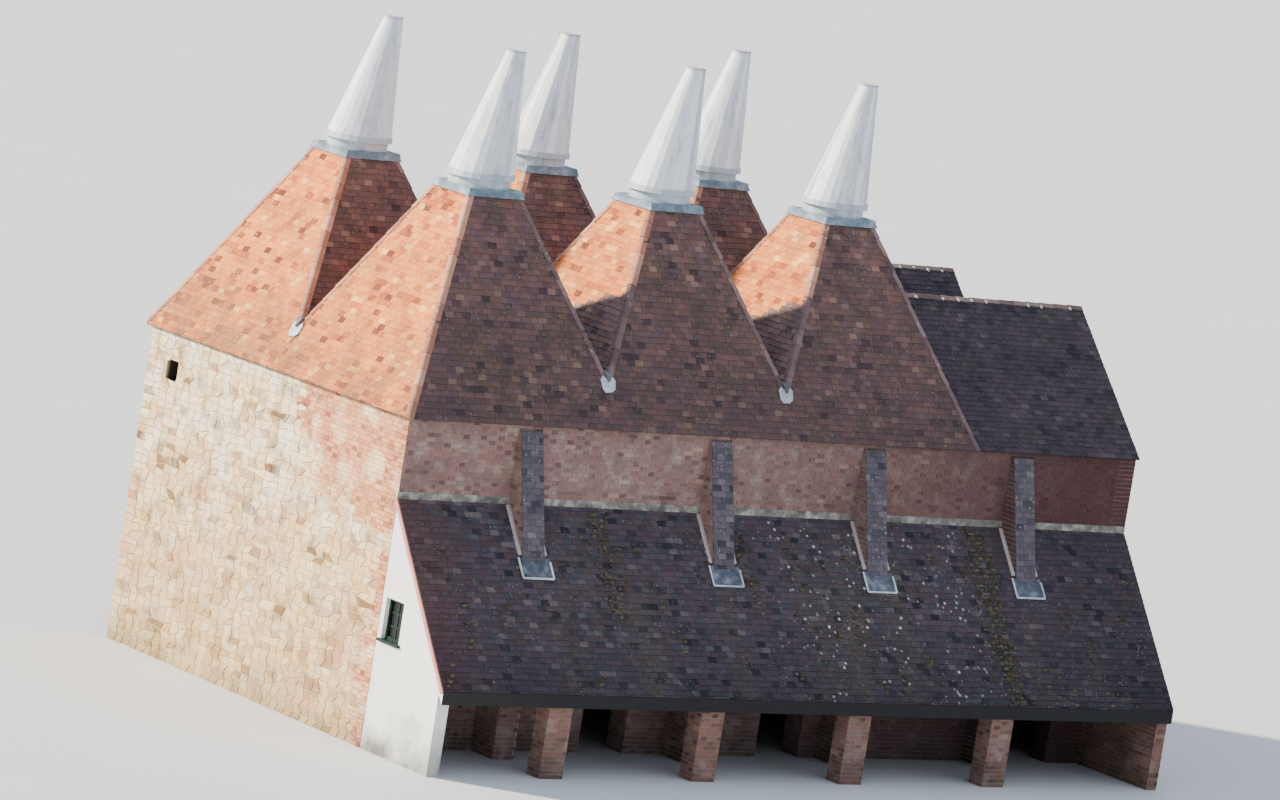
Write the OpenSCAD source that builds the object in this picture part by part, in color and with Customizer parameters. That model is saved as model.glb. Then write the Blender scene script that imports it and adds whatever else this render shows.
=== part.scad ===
// Oast house: six square kilns in two rows, each with a turning cowl, a lean-to along
// the front and a double-pile stowage range at the right end.
// Plan coordinates run from the outer faces of the left wall and the front wall of the kilns.

/* [Kilns] */
// Distance between kiln centres
kiln_pitch = 3600; // [3200:50:4200]
// Thickness of the outer kiln walls
outer_wall_t = 450; // [350:10:550]
// Thickness of the walls between kilns
party_wall_t = 350; // [300:10:400]
// Height of the kiln eaves
eaves_h = 5300; // [5000:10:5900]
// Rise of a kiln roof from the eaves to the curb
roof_rise = 3450; // [3100:10:4000]
// Width of the flat top of a kiln roof
roof_top_w = 920; // [880:10:1000]
// Thickness of the kiln roofs, measured level
roof_t = 175; // [140:5:200]
// Overhang of the eaves
eaves_overhang = 85; // [40:5:110]
// Width of the lead gutter in the valleys
gutter_w = 150; // [120:10:200]

/* [Kiln doorways] */
// Width of a kiln doorway
kiln_door_w = 900; // [700:10:1000]
// Height of a kiln doorway to the springing of its arch
kiln_door_h = 1900; // [1700:10:2100]
// Rise of the arch over a kiln doorway
kiln_door_rise = 140; // [80:5:200]
// Distance of a front doorway to the left of its kiln's centre
kiln_door_shift = 1000; // [900:10:1040]

/* [Left vent] */
// Width and height of the square vent in the left wall
vent_size = 350; // [250:10:400]
// Distance from the rear corner to the middle of the vent
vent_from_rear = 760; // [760:10:1200]
// Distance from the eaves to the middle of the vent
vent_below_eaves = 620; // [450:10:900]

/* [Cowls] */
// Outer radius of a cowl at its foot
cowl_r = 550; // [535:5:620]
// Outer radius of a cowl at its flat top
cowl_top_r = 150; // [130:2:200]
// Height of a cowl
cowl_h = 2060; // [1800:20:2400]
// Lean of a cowl's top towards its opening
cowl_lean = 400; // [300:10:440]
// Thickness of the cowl boards
cowl_board_t = 30; // [22:1:35]
// Number of boards round a cowl
cowl_boards = 24; // [20:2:32]
// Number of boards that the opening in a cowl takes up
mouth_boards = 6; // [4:2:6]
// Height of the opening's lower edge above the cowl's foot
mouth_low = 260; // [220:10:400]
// Distance from the opening's upper edge to the cowl's top
mouth_below_top = 180; // [150:10:300]
// Heading of the cowl openings from the right, anticlockwise in plan
cowl_heading = 10; // [0:1:40]
// Outer radius of the round curb
curb_r = 500; // [490:2:510]
// Inner radius of the round curb
curb_inner_r = 350; // [320:5:400]
// Height of the curb with the board under it
curb_h = 220; // [180:5:260]
// Width of the square board under the curb
curb_base_w = 1040; // [1010:10:1100]
// Thickness of that board
curb_base_t = 45; // [25:5:60]
// Length of curb that the cowl's foot covers
curb_lap = 30; // [10:5:60]
// Radius of the spindle
spindle_r = 60; // [45:1:75]
// Running gap of the spindle in its bearers
spindle_gap = 3; // [1:0.5:5]
// Height of the spindle's head above the cowl's foot
spindle_up = 900; // [700:10:1000]
// Height of the band round the cowl's foot
foot_band_h = 90; // [60:5:140]
// Thickness of that band
foot_band_t = 18; // [12:1:25]
// Thickness of the cap on a cowl
cap_t = 26; // [20:1:40]
// Distance that the cap stands out past the boards
cap_lip = 14; // [8:1:25]

/* [Lean-to] */
// Height of the top edge of the lean-to roof on the wall
lean_top_h = 4000; // [3800:10:4300]
// Drop of the lean-to roof from the wall to the face of the piers
lean_drop = 2485; // [2300:5:2600]
// Distance from the front wall to the face of the piers
lean_depth = 1900; // [1700:10:2200]
// Distance between the middles of the piers
pier_pitch = 3000; // [2800:20:3060]
// Overhang of the lean-to eaves
lean_overhang = 110; // [60:5:160]
// Thickness of the lean-to roof, measured plumb
lean_roof_t = 200; // [150:5:240]
// Thickness of the lean-to end walls
lean_wall_t = 225; // [200:5:300]
// Width of a brick pier
pier_w = 450; // [350:10:550]
// Depth of a brick pier
pier_d = 340; // [225:5:450]
// Width of the plate beam on the piers
plate_w = 150; // [100:5:200]
// Depth of the plate beam at its front face
plate_h = 120; // [100:5:160]
// Width of the window in the white end wall
end_window_w = 500; // [400:10:600]
// Height of the window in the white end wall
end_window_h = 660; // [500:10:800]
// Height of that window's sill
end_window_sill = 1800; // [1600:10:2000]
// Distance from the kiln wall to that window
end_window_from_wall = 120; // [80:10:200]

/* [Buttresses] */
// Width of a front buttress
buttress_w = 420; // [340:10:500]
// Depth of a front buttress at its foot
buttress_d = 610; // [500:10:700]
// Distance from the eaves to the top of the buttresses
buttress_drop = 90; // [60:10:200]
// Height of the foot of the raking face
rake_foot_h = 3200; // [3000:10:3400]
// Thickness of the buttresses at the top of the rake
buttress_top_d = 30; // [20:5:60]

/* [Stowage range] */
// Length of the range beyond the kilns
range_len = 3600; // [3000:50:5000]
// Thickness of the range walls
range_wall_t = 350; // [225:5:450]
// Rise of the range ridges above the eaves
range_rise = 2230; // [2000:10:2600]
// Distance from the end wall's inner face to the middle of the range doorway
range_door_inset = 1000; // [700:10:1400]
// Thickness of the range roofs, measured level
range_roof_t = 200; // [160:5:240]

/* [Hidden] */

// Kilns along the front, and rows of kilns
cols = 3;
rows = 2;
// Extra length that carries a cut clear of a face
cut = 5;

cell_half = kiln_pitch / 2;
first_centre = cell_half - party_wall_t / 2 + outer_wall_t;
block_w = 2 * first_centre + (cols - 1) * kiln_pitch;
block_d = 2 * first_centre + (rows - 1) * kiln_pitch;
outer_half = first_centre + eaves_overhang;
top_half = roof_top_w / 2;
roof_top_h = eaves_h + roof_rise;
roof_slope = roof_rise / (outer_half - top_half);
valley_h = eaves_h + (outer_half - cell_half) * roof_slope;
total_w = block_w + range_len;

lean_slope = lean_drop / lean_depth;
lean_eaves_y = -lean_depth - lean_overhang;

range_slope = range_rise / outer_half;
range_ridge_h = eaves_h + range_rise;
range_valley_h = range_ridge_h - cell_half * range_slope;
range_valley_y = block_d / 2;
// Half the width of the beam under the range valley, its depth, and its bearing in the walls
range_sole = 150;
valley_beam_h = 300;
beam_bearing = 150;

plan_mid_x = (total_w - eaves_overhang) / 2;
plan_mid_y = (lean_eaves_y + block_d + eaves_overhang) / 2;

buttress_top_h = eaves_h - buttress_drop;
// The buttresses stand irregularly: each one's distance to the right of its kiln, and of the block
buttress_shift = [265, 445, 15];
end_buttress_shift = 1110;
buttress_x = concat(
    [for (k = [0 : cols - 1]) kiln_x(k) + buttress_shift[k]], [block_w + end_buttress_shift]
);
pier_count = 4;
first_pier_x = 2380;
pier_x = [for (k = [0 : pier_count - 1]) first_pier_x + k * pier_pitch];

cowl_foot_h = roof_top_h + curb_h - curb_lap;
// Depth of the pivot below the curb, and the beam that carries it
pivot_drop = 1300;
pivot_beam_w = 180;
pivot_beam_h = 200;
// The upper bearer of the spindle, and its distance below the curb
bearer_w = 160;
bearer_h = 110;
bearer_drop = 60;
// The cup in which the spindle's foot stands
cup_r = 110;
cup_h = 90;
cup_depth = 60;
// Gap between pieces that rest on or fit round each other
seat_gap = 0.3;
// Arms in a cowl, height of the lower ones above the curb, and distance from the upper ones to the
// spindle's head
arm_w = 70;
arm_clear = 60;
upper_arm_drop = 80;
// The hubs where the arms meet
hub_h = 110;
hub_wall = 60;
hub_below_arm = 20;

gutter_outlet = 90;
skirt_rise = 1000;
// Lead strips on the lean-to: thickness, height on the wall and length down the roof
flashing_t = 12;
flashing_up = 130;
flashing_down = 150;
// Frame of the window in the white end wall, and its distance from the wall's outer face
window_setback = 75;
window_frame_t = 60;
window_frame_w = 50;
glass_t = 10;
end_window_y = -end_window_from_wall - end_window_w / 2;

tile = [0.36, 0.25, 0.23];
sun_tile = [0.78, 0.56, 0.44];
brick = [0.55, 0.40, 0.35];
stone = [0.86, 0.79, 0.66];
lead = [0.62, 0.64, 0.66];
white = [0.93, 0.93, 0.91];
timber = [0.42, 0.33, 0.25];

function kiln_x(i) = first_centre + (i % cols) * kiln_pitch;
function kiln_y(i) = first_centre + floor(i / cols) * kiln_pitch;

// Everything is drawn in plan coordinates and set round the middle of the footprint
module place() {
    translate([-plan_mid_x, -plan_mid_y, 0]) children();
}

// An outline in the plane across the building, drawn as level distance y and height z
module along_x(x0, x1) {
    translate([x0, 0, 0]) rotate([90, 0, 90]) linear_extrude(height = x1 - x0) children();
}

// An outline in the plane along the building, drawn as level distance x and height z
module along_y(y0, y1) {
    translate([0, y1, 0]) rotate([90, 0, 0]) linear_extrude(height = y1 - y0) children();
}

module box(x0, x1, y0, y1, z0, z1) {
    translate([x0, y0, z0]) cube([x1 - x0, y1 - y0, z1 - z0]);
}

// Outline of a doorway with a segmental arch, centred on x = 0
module arched_opening(w, spring, rise) {
    arch_r = (w * w / 4 + rise * rise) / (2 * rise);
    translate([-w / 2, -cut]) square([w, spring + cut]);
    intersection() {
        translate([-w / 2, spring - 1]) square([w, rise + 2]);
        translate([0, spring + rise - arch_r]) circle(r = arch_r, $fn = 96);
    }
}

// Kiln roofs

// Outer outline of one kiln roof, either side ending at an eaves or at a valley
function roof_side(at_eaves) = at_eaves
    ? [[outer_half, eaves_h], [top_half, roof_top_h]]
    : [[cell_half, eaves_h], [cell_half, valley_h], [top_half, roof_top_h]];

// Outline of the space under one kiln roof
function void_side(at_eaves) = at_eaves
    ? [[outer_half - roof_t, eaves_h - cut], [outer_half - roof_t, eaves_h],
       [top_half - roof_t, roof_top_h], [top_half - roof_t, roof_top_h + cut]]
    : [[cell_half + cut, eaves_h - cut], [cell_half + cut, valley_h],
       [cell_half - roof_t, valley_h],
       [top_half - roof_t, roof_top_h], [top_half - roof_t, roof_top_h + cut]];

function mirrored(pts) = [for (k = [len(pts) - 1 : -1 : 0]) [-pts[k][0], pts[k][1]]];
function both_sides(low, high) = concat(high, mirrored(low));

module kiln_form(i, void = false) {
    col = i % cols;
    row = floor(i / cols);
    reach = outer_half + cut;
    across = void
        ? both_sides(void_side(col == 0), void_side(col == cols - 1))
        : both_sides(roof_side(col == 0), roof_side(col == cols - 1));
    deep = void
        ? both_sides(void_side(row == 0), void_side(row == rows - 1))
        : both_sides(roof_side(row == 0), roof_side(row == rows - 1));
    translate([kiln_x(i), kiln_y(i), 0]) intersection() {
        along_y(-reach, reach) polygon(across);
        along_x(-reach, reach) polygon(deep);
    }
}

module kiln_roof(i) {
    place() color(i % cols == 0 ? sun_tile : tile) difference() {
        kiln_form(i);
        kiln_form(i, void = true);
    }
}

// Outline of a wall that runs up under the roof skirt at the ends that stand on an outer wall
function under_skirt(z) =
    outer_wall_t - party_wall_t / 2 + roof_t + seat_gap - (valley_h - z) / roof_slope;

module dividing_walls() {
    far = block_d;
    place() color(brick) for (i = [0 : cols - 2]) {
        x = kiln_x(i) + cell_half;
        along_x(x - party_wall_t / 2, x + party_wall_t / 2) polygon([
            [outer_wall_t, 0], [outer_wall_t, eaves_h], [under_skirt(eaves_h), eaves_h],
            [under_skirt(valley_h), valley_h], [far - under_skirt(valley_h), valley_h],
            [far - under_skirt(eaves_h), eaves_h], [far - outer_wall_t, eaves_h],
            [far - outer_wall_t, 0]
        ]);
    }
}

module cross_walls() {
    mid = kiln_y(0) + cell_half;
    y0 = mid - party_wall_t / 2;
    y1 = mid + party_wall_t / 2;
    inner = kiln_x(0) + cell_half - party_wall_t / 2;
    place() color(brick) {
        along_y(y0, y1) polygon([
            [outer_wall_t, 0], [outer_wall_t, eaves_h], [under_skirt(eaves_h), eaves_h],
            [under_skirt(valley_h), valley_h], [inner, valley_h], [inner, 0]
        ]);
        box(inner + party_wall_t, block_w - inner - party_wall_t, y0, y1, 0, valley_h);
        along_y(y0, y1) polygon([
            [block_w - outer_wall_t, 0], [block_w - outer_wall_t, eaves_h],
            [block_w - under_skirt(eaves_h), eaves_h],
            [block_w - under_skirt(valley_h), valley_h], [block_w - inner, valley_h],
            [block_w - inner, 0]
        ]);
    }
}

// Walls of the kiln block

module front_wall() {
    place() color(brick) difference() {
        box(0, block_w, 0, outer_wall_t, 0, eaves_h);
        for (i = [0 : cols - 1])
            translate([kiln_x(i) - kiln_door_shift, 0, 0]) along_y(-cut, outer_wall_t + cut)
                arched_opening(kiln_door_w, kiln_door_h, kiln_door_rise);
    }
}

module rear_wall() {
    place() color(brick) difference() {
        box(0, block_w, block_d - outer_wall_t, block_d, 0, eaves_h);
        for (i = [0 : cols - 1])
            translate([kiln_x(i), 0, 0]) along_y(block_d - outer_wall_t - cut, block_d + cut)
                arched_opening(kiln_door_w, kiln_door_h, kiln_door_rise);
    }
}

module left_wall() {
    vent_y = block_d - vent_from_rear;
    vent_z = eaves_h - vent_below_eaves;
    place() color(stone) difference() {
        box(0, outer_wall_t, outer_wall_t, block_d - outer_wall_t, 0, eaves_h);
        box(-cut, outer_wall_t + cut, vent_y - vent_size / 2, vent_y + vent_size / 2,
            vent_z - vent_size / 2, vent_z + vent_size / 2);
    }
}

module right_wall() {
    place() color(brick) difference() {
        box(block_w - outer_wall_t, block_w, outer_wall_t, block_d - outer_wall_t, 0, eaves_h);
        valley_beam_box(cut);
    }
}

// Gutters along the valleys, with a lip that carries the water out over the tiles

function gutter_outline() = [
    [0, 0], [gutter_w / 2, gutter_w / 2 * roof_slope], [-gutter_w / 2, gutter_w / 2 * roof_slope]
];

module valley_gutters() {
    y_mid = kiln_y(0) + cell_half;
    place() color(lead) intersection() {
        union() {
            for (i = [0 : cols - 2])
                translate([kiln_x(i) + cell_half, 0, valley_h])
                    along_y(-gutter_outlet, block_d + gutter_outlet) polygon(gutter_outline());
            translate([0, y_mid, valley_h]) along_x(-gutter_outlet, block_w + gutter_outlet)
                polygon(gutter_outline());
        }
        skirt_form(gutter_outlet);
    }
}

// The whole block's outer form, larger all round by the given level distance
module skirt_form(grow) {
    base = outer_half + grow - skirt_rise / roof_slope;
    intersection() {
        along_y(-2 * grow - eaves_overhang, block_d + 2 * grow + eaves_overhang) polygon([
            [-eaves_overhang - grow, eaves_h], [first_centre - base, eaves_h + skirt_rise],
            [block_w - first_centre + base, eaves_h + skirt_rise],
            [block_w + eaves_overhang + grow, eaves_h]
        ]);
        along_x(-2 * grow - eaves_overhang, block_w + 2 * grow + eaves_overhang) polygon([
            [-eaves_overhang - grow, eaves_h], [first_centre - base, eaves_h + skirt_rise],
            [block_d - first_centre + base, eaves_h + skirt_rise],
            [block_d + eaves_overhang + grow, eaves_h]
        ]);
    }
}

// Curbs, bearers, cowls and spindles

// A square board on each roof with a round curb on it
module cowl_curbs() {
    half = curb_base_w / 2;
    place() color(lead) for (i = [0 : cols * rows - 1])
        translate([kiln_x(i), kiln_y(i), roof_top_h]) difference() {
            union() {
                box(-half, half, -half, half, 0, curb_base_t);
                cylinder(r = curb_r, h = curb_h, $fn = 64);
            }
            translate([0, 0, -cut]) cylinder(r = curb_inner_r, h = curb_h + 2 * cut, $fn = 64);
        }
}

// An upper bearer with a hole for the spindle, and a lower beam with the pivot cup
module cowl_bearers() {
    bearer_z = roof_top_h - bearer_drop - bearer_h;
    pivot_z = roof_top_h - pivot_drop;
    place() color(timber) for (i = [0 : cols * rows - 1]) {
        difference() {
            intersection() {
                translate([kiln_x(i), kiln_y(i), 0])
                    box(-outer_half, outer_half, -bearer_w / 2, bearer_w / 2,
                        bearer_z, bearer_z + bearer_h);
                kiln_form(i, void = true);
            }
            translate([kiln_x(i), kiln_y(i), bearer_z - cut])
                cylinder(r = spindle_r + spindle_gap, h = bearer_h + 2 * cut, $fn = 48);
        }
        difference() {
            union() {
                intersection() {
                    translate([kiln_x(i), kiln_y(i), 0])
                        box(-outer_half, outer_half, -pivot_beam_w / 2, pivot_beam_w / 2,
                            pivot_z - pivot_beam_h, pivot_z);
                    kiln_form(i, void = true);
                }
                translate([kiln_x(i), kiln_y(i), pivot_z]) cylinder(r = cup_r, h = cup_h, $fn = 48);
            }
            translate([kiln_x(i), kiln_y(i), pivot_z + cup_h - cup_depth])
                cylinder(r = spindle_r + spindle_gap, h = cup_depth + cut, $fn = 48);
        }
    }
}

// Corners of a level ring of boards at a height above the cowl's foot
function board_ring(r, z) = [
    for (k = [0 : cowl_boards - 1])
        [cowl_lean * z / cowl_h + r * cos(360 * k / cowl_boards), r * sin(360 * k / cowl_boards), z]
];

// Solid leaning cone with one flat side for each board, between two heights
module leaning_cone(r0, r1, z0, z1) {
    n = cowl_boards;
    polyhedron(
        points = concat(board_ring(r0, z0), board_ring(r1, z1)),
        faces = concat(
            [[for (k = [0 : n - 1]) k], [for (k = [n - 1 : -1 : 0]) n + k]],
            [for (k = [0 : n - 1]) [k, n + k, n + (k + 1) % n, (k + 1) % n]]
        )
    );
}

// Outer radius of a cowl at a height above its foot
function cowl_r_at(z) = cowl_r - (cowl_r - cowl_top_r) * z / cowl_h;

// Cutter for the opening on the side that the cowl leans to, with its sides along board joints
module cowl_opening() {
    side = sin(180 * mouth_boards / cowl_boards);
    high = cowl_h - mouth_below_top;
    low_half = side * cowl_r_at(mouth_low);
    high_half = side * cowl_r_at(high);
    far = cowl_lean + cowl_r + cut;
    intersection() {
        along_x(0, far) polygon([
            [-low_half, mouth_low], [low_half, mouth_low], [high_half, high], [-high_half, high]
        ]);
        along_y(-cowl_r, cowl_r) polygon([[0, 0], [far, 0], [far, cowl_h], [cowl_lean, cowl_h]]);
    }
}

// Level distances from the spindle to the middle of the boards, at a height above the cowl's foot
function cowl_shift(z) = cowl_lean * z / cowl_h;
function boards_mid_r(z) = cowl_r_at(z) - cowl_board_t / 2;
function boards_beside(z) = sqrt(pow(boards_mid_r(z), 2) - pow(cowl_shift(z), 2));
function boards_behind(z) = boards_mid_r(z) - cowl_shift(z);
function boards_before(z) = boards_mid_r(z) + cowl_shift(z);

// Arms from the boards to the spindle, from the given height up, with or without one on the open side
module cowl_arms(z, before) {
    mid = z + arm_w / 2;
    box(-boards_behind(mid), before ? boards_before(mid) : 0, -arm_w / 2, arm_w / 2, z, z + arm_w);
    box(-arm_w / 2, arm_w / 2, -boards_beside(mid), boards_beside(mid), z, z + arm_w);
    translate([0, 0, z - hub_below_arm]) cylinder(r = spindle_r + hub_wall, h = hub_h, $fn = 48);
}

// Boarded cowl with a band round its foot, a flat cap, and two sets of arms that hold the spindle
module cowl(i) {
    taper = (cowl_r - cowl_top_r) / cowl_h;
    below = 20;
    inner_r = cowl_r - cowl_board_t;
    inner_top_r = cowl_top_r - cowl_board_t + taper * cap_t;
    lower_arm_z = curb_lap + arm_clear;
    upper_arm_z = spindle_up - upper_arm_drop - arm_w;
    cap_r = cowl_top_r + cap_lip;
    place() translate([kiln_x(i), kiln_y(i), cowl_foot_h]) rotate([0, 0, cowl_heading])
        color(white) difference() {
            union() {
                difference() {
                    union() {
                        leaning_cone(cowl_r, cowl_top_r, 0, cowl_h);
                        leaning_cone(cowl_r + foot_band_t, cowl_r_at(foot_band_h) + foot_band_t, 0,
                            foot_band_h);
                        leaning_cone(cap_r, cap_r, cowl_h - cap_t, cowl_h);
                    }
                    leaning_cone(inner_r + taper * below, inner_top_r, -below, cowl_h - cap_t);
                    cowl_opening();
                }
                cowl_arms(lower_arm_z, true);
                cowl_arms(upper_arm_z, false);
            }
            for (z = [lower_arm_z, upper_arm_z]) translate([0, 0, z - hub_below_arm - cut])
                cylinder(r = spindle_r + seat_gap, h = hub_h + 2 * cut, $fn = 48);
        }
}

module spindle(i) {
    foot = roof_top_h - pivot_drop + cup_h - cup_depth + seat_gap;
    head = cowl_foot_h + spindle_up;
    place() color(timber) translate([kiln_x(i), kiln_y(i), foot])
        cylinder(r = spindle_r, h = head - foot, $fn = 48);
}

// Front buttresses and lean-to

module buttresses() {
    place() color(brick) for (x = buttress_x)
        along_x(x - buttress_w / 2, x + buttress_w / 2) polygon([
            [0, 0], [-buttress_d, 0], [-buttress_d, rake_foot_h],
            [-buttress_top_d, buttress_top_h], [0, buttress_top_h]
        ]);
}

function lean_z(y) = lean_top_h + y * lean_slope;

module lean_to_roof() {
    place() color(tile) difference() {
        along_x(0, total_w) polygon([
            [0, lean_top_h], [lean_eaves_y, lean_z(lean_eaves_y)],
            [lean_eaves_y, lean_z(lean_eaves_y) - lean_roof_t], [0, lean_top_h - lean_roof_t]
        ]);
        for (x = buttress_x)
            box(x - buttress_w / 2, x + buttress_w / 2, -buttress_d, cut, 0, lean_top_h + cut);
    }
}

// Height of the underside of the lean-to roof, less the gap over what carries it
function lean_seat_z(y) = lean_z(y) - lean_roof_t - seat_gap;

module lean_to_plate() {
    back = -lean_depth + plate_w;
    low = lean_seat_z(-lean_depth) - plate_h;
    place() color(timber) along_x(lean_wall_t, total_w - lean_wall_t) polygon([
        [-lean_depth, low], [back, low], [back, lean_seat_z(back)],
        [-lean_depth, lean_seat_z(-lean_depth)]
    ]);
}

module lean_to_piers() {
    top = lean_seat_z(-lean_depth) - plate_h;
    place() color(brick) for (x = pier_x)
        box(x - pier_w / 2, x + pier_w / 2, -lean_depth, -lean_depth + pier_d, 0, top);
}

module lean_end_outline() {
    polygon([
        [0, 0], [-lean_depth, 0], [-lean_depth, lean_seat_z(-lean_depth)], [0, lean_seat_z(0)]
    ]);
}

module lean_to_left_wall() {
    place() color(white) difference() {
        along_x(0, lean_wall_t) lean_end_outline();
        end_window_box(-cut, lean_wall_t + cut, 0);
    }
}

// Box round the end window, smaller all round by the given inset
module end_window_box(x0, x1, inset) {
    box(x0, x1, end_window_y - end_window_w / 2 + inset, end_window_y + end_window_w / 2 - inset,
        end_window_sill + inset, end_window_sill + end_window_h - inset);
}

module lean_to_window() {
    x0 = window_setback;
    place() color("darkgreen") difference() {
        end_window_box(x0, x0 + window_frame_t, 0);
        end_window_box(x0 - cut, x0 + window_frame_t + cut, window_frame_w);
    }
}

module lean_to_glass() {
    x0 = window_setback + (window_frame_t - glass_t) / 2;
    place() color([0.3, 0.35, 0.35]) end_window_box(x0, x0 + glass_t, window_frame_w);
}

module lean_to_right_wall() {
    place() color(brick) along_x(total_w - lean_wall_t, total_w) lean_end_outline();
}

// Lead strips along the top of the lean-to roof, one between each pair of buttresses
module lean_to_flashing() {
    t = flashing_t;
    plumb_t = t * sqrt(1 + pow(lean_slope, 2));
    top = lean_top_h + flashing_up;
    foot = -flashing_down;
    starts = concat([0], [for (x = buttress_x) x + buttress_w / 2]);
    ends = concat([for (x = buttress_x) x - buttress_w / 2], [total_w]);
    place() color(lead) for (k = [0 : len(starts) - 1]) along_x(starts[k], ends[k]) polygon([
        [0, lean_top_h], [0, top], [-t, top],
        [-t, lean_z(-t) + plumb_t], [foot, lean_z(foot) + plumb_t], [foot, lean_z(foot)]
    ]);
}

// Stowage range at the right end

module range_front_wall() {
    door_x = total_w - range_wall_t - range_door_inset;
    place() color(brick) difference() {
        box(block_w, total_w - range_wall_t, 0, range_wall_t, 0, eaves_h);
        translate([door_x, 0, 0]) along_y(-cut, range_wall_t + cut)
            arched_opening(kiln_door_w, kiln_door_h, kiln_door_rise);
    }
}

module range_rear_wall() {
    place() color(brick)
        box(block_w, total_w - range_wall_t, block_d - range_wall_t, block_d, 0, eaves_h);
}

// Half of the range's inner roof outline, from the front eaves to the valley
function range_inner_half() = [
    [range_roof_t - eaves_overhang, eaves_h],
    [first_centre, range_ridge_h - range_roof_t * range_slope],
    [range_valley_y - range_sole, range_valley_h + (range_sole - range_roof_t) * range_slope],
    [range_valley_y - range_sole, eaves_h]
];

module range_end_wall() {
    half = range_inner_half();
    place() color(brick) difference() {
        along_x(total_w - range_wall_t, total_w) polygon(concat(
            [[0, 0], [0, eaves_h]], half,
            [for (k = [len(half) - 1 : -1 : 0]) [block_d - half[k][0], half[k][1]]],
            [[block_d, eaves_h], [block_d, 0]]
        ));
        valley_beam_box(cut);
    }
}

// One range roof: a ridge over the front row of kilns, from the eaves to the valley
module range_roof_outline() {
    half = range_inner_half();
    polygon(concat(
        [[-eaves_overhang, eaves_h], [first_centre, range_ridge_h],
         [range_valley_y, range_valley_h], [range_valley_y, eaves_h]],
        [for (k = [len(half) - 1 : -1 : 0]) half[k]]
    ));
}

module range_roofs() {
    start = block_w - outer_half;
    place() color(tile) difference() {
        union() {
            along_x(start, total_w) range_roof_outline();
            translate([0, block_d, 0]) mirror([0, 1, 0]) along_x(start, total_w)
                range_roof_outline();
        }
        for (i = [cols - 1, 2 * cols - 1]) kiln_form(i);
        box(start - cut, block_w - cell_half, -outer_half, block_d + outer_half, eaves_h - cut,
            roof_top_h);
    }
}

// The beam under the range valley, carried on above the eaves level by the given height
module valley_beam_box(above) {
    box(block_w - beam_bearing, total_w - range_wall_t + beam_bearing,
        range_valley_y - range_sole, range_valley_y + range_sole,
        eaves_h - valley_beam_h, eaves_h + above);
}

module range_valley_beam() {
    place() color(timber) valley_beam_box(0);
}

front_wall();
left_wall();
rear_wall();
right_wall();
dividing_walls();
cross_walls();
kiln_roof(0);  // kiln_roof_1
kiln_roof(1);  // kiln_roof_2
kiln_roof(2);  // kiln_roof_3
kiln_roof(3);  // kiln_roof_4
kiln_roof(4);  // kiln_roof_5
kiln_roof(5);  // kiln_roof_6
valley_gutters();
cowl_curbs();
cowl_bearers();
cowl(0);  // cowl_1
cowl(1);  // cowl_2
cowl(2);  // cowl_3
cowl(3);  // cowl_4
cowl(4);  // cowl_5
cowl(5);  // cowl_6
spindle(0);  // spindle_1
spindle(1);  // spindle_2
spindle(2);  // spindle_3
spindle(3);  // spindle_4
spindle(4);  // spindle_5
spindle(5);  // spindle_6
buttresses();
lean_to_roof();
lean_to_plate();
lean_to_piers();
lean_to_left_wall();
lean_to_right_wall();
lean_to_window();
lean_to_glass();
lean_to_flashing();
range_front_wall();
range_rear_wall();
range_end_wall();
range_roofs();
range_valley_beam();
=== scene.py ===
"""Looks of the oast house: tiles, bricks, stones, cowl boards and lead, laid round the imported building."""

from functools import reduce
import math
import random

import bmesh
import bpy
import numpy as np
from mathutils import Matrix, Vector
from mathutils.bvhtree import BVHTree


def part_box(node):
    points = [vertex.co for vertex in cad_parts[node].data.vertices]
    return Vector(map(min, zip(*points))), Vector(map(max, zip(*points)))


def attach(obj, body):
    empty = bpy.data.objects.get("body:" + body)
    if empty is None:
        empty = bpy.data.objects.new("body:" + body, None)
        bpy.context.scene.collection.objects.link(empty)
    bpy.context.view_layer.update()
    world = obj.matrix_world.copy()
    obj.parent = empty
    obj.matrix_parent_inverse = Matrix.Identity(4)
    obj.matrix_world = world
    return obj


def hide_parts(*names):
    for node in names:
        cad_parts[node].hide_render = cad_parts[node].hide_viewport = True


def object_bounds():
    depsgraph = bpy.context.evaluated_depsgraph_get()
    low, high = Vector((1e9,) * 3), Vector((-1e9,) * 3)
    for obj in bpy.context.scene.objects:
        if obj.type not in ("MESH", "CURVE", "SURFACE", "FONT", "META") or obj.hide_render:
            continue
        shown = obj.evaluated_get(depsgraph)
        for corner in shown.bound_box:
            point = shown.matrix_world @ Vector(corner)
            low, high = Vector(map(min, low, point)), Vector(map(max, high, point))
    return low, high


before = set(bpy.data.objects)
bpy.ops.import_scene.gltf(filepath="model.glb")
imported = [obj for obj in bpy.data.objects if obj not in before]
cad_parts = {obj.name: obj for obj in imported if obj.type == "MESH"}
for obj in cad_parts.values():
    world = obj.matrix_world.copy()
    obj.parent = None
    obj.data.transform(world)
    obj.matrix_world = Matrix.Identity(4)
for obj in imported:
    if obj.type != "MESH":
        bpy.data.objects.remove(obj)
cad_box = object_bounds()

KILNS = range(1, 7)

# Plain tiles
TILE_WIDTH = 0.165
TILE_GAUGE = 0.1
TILE_LENGTH = 0.128
TILE_THICK = 0.012
TILE_TAIL_LIFT = 0.015
TILE_HEAD_LIFT = 0.002
TILE_GAP = 0.004
# How far past the edge of a slope a tile is still laid before the edge is cut
TILE_REACH = 0.11
# How far tiles stray along the slope, up it and off it, and how far they turn and roll
TILE_STRAY = 0.002
TILE_SLIP = 0.004
TILE_LOOSE = 0.004
TILE_TURN = 0.012
TILE_ROLL = 0.02

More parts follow.
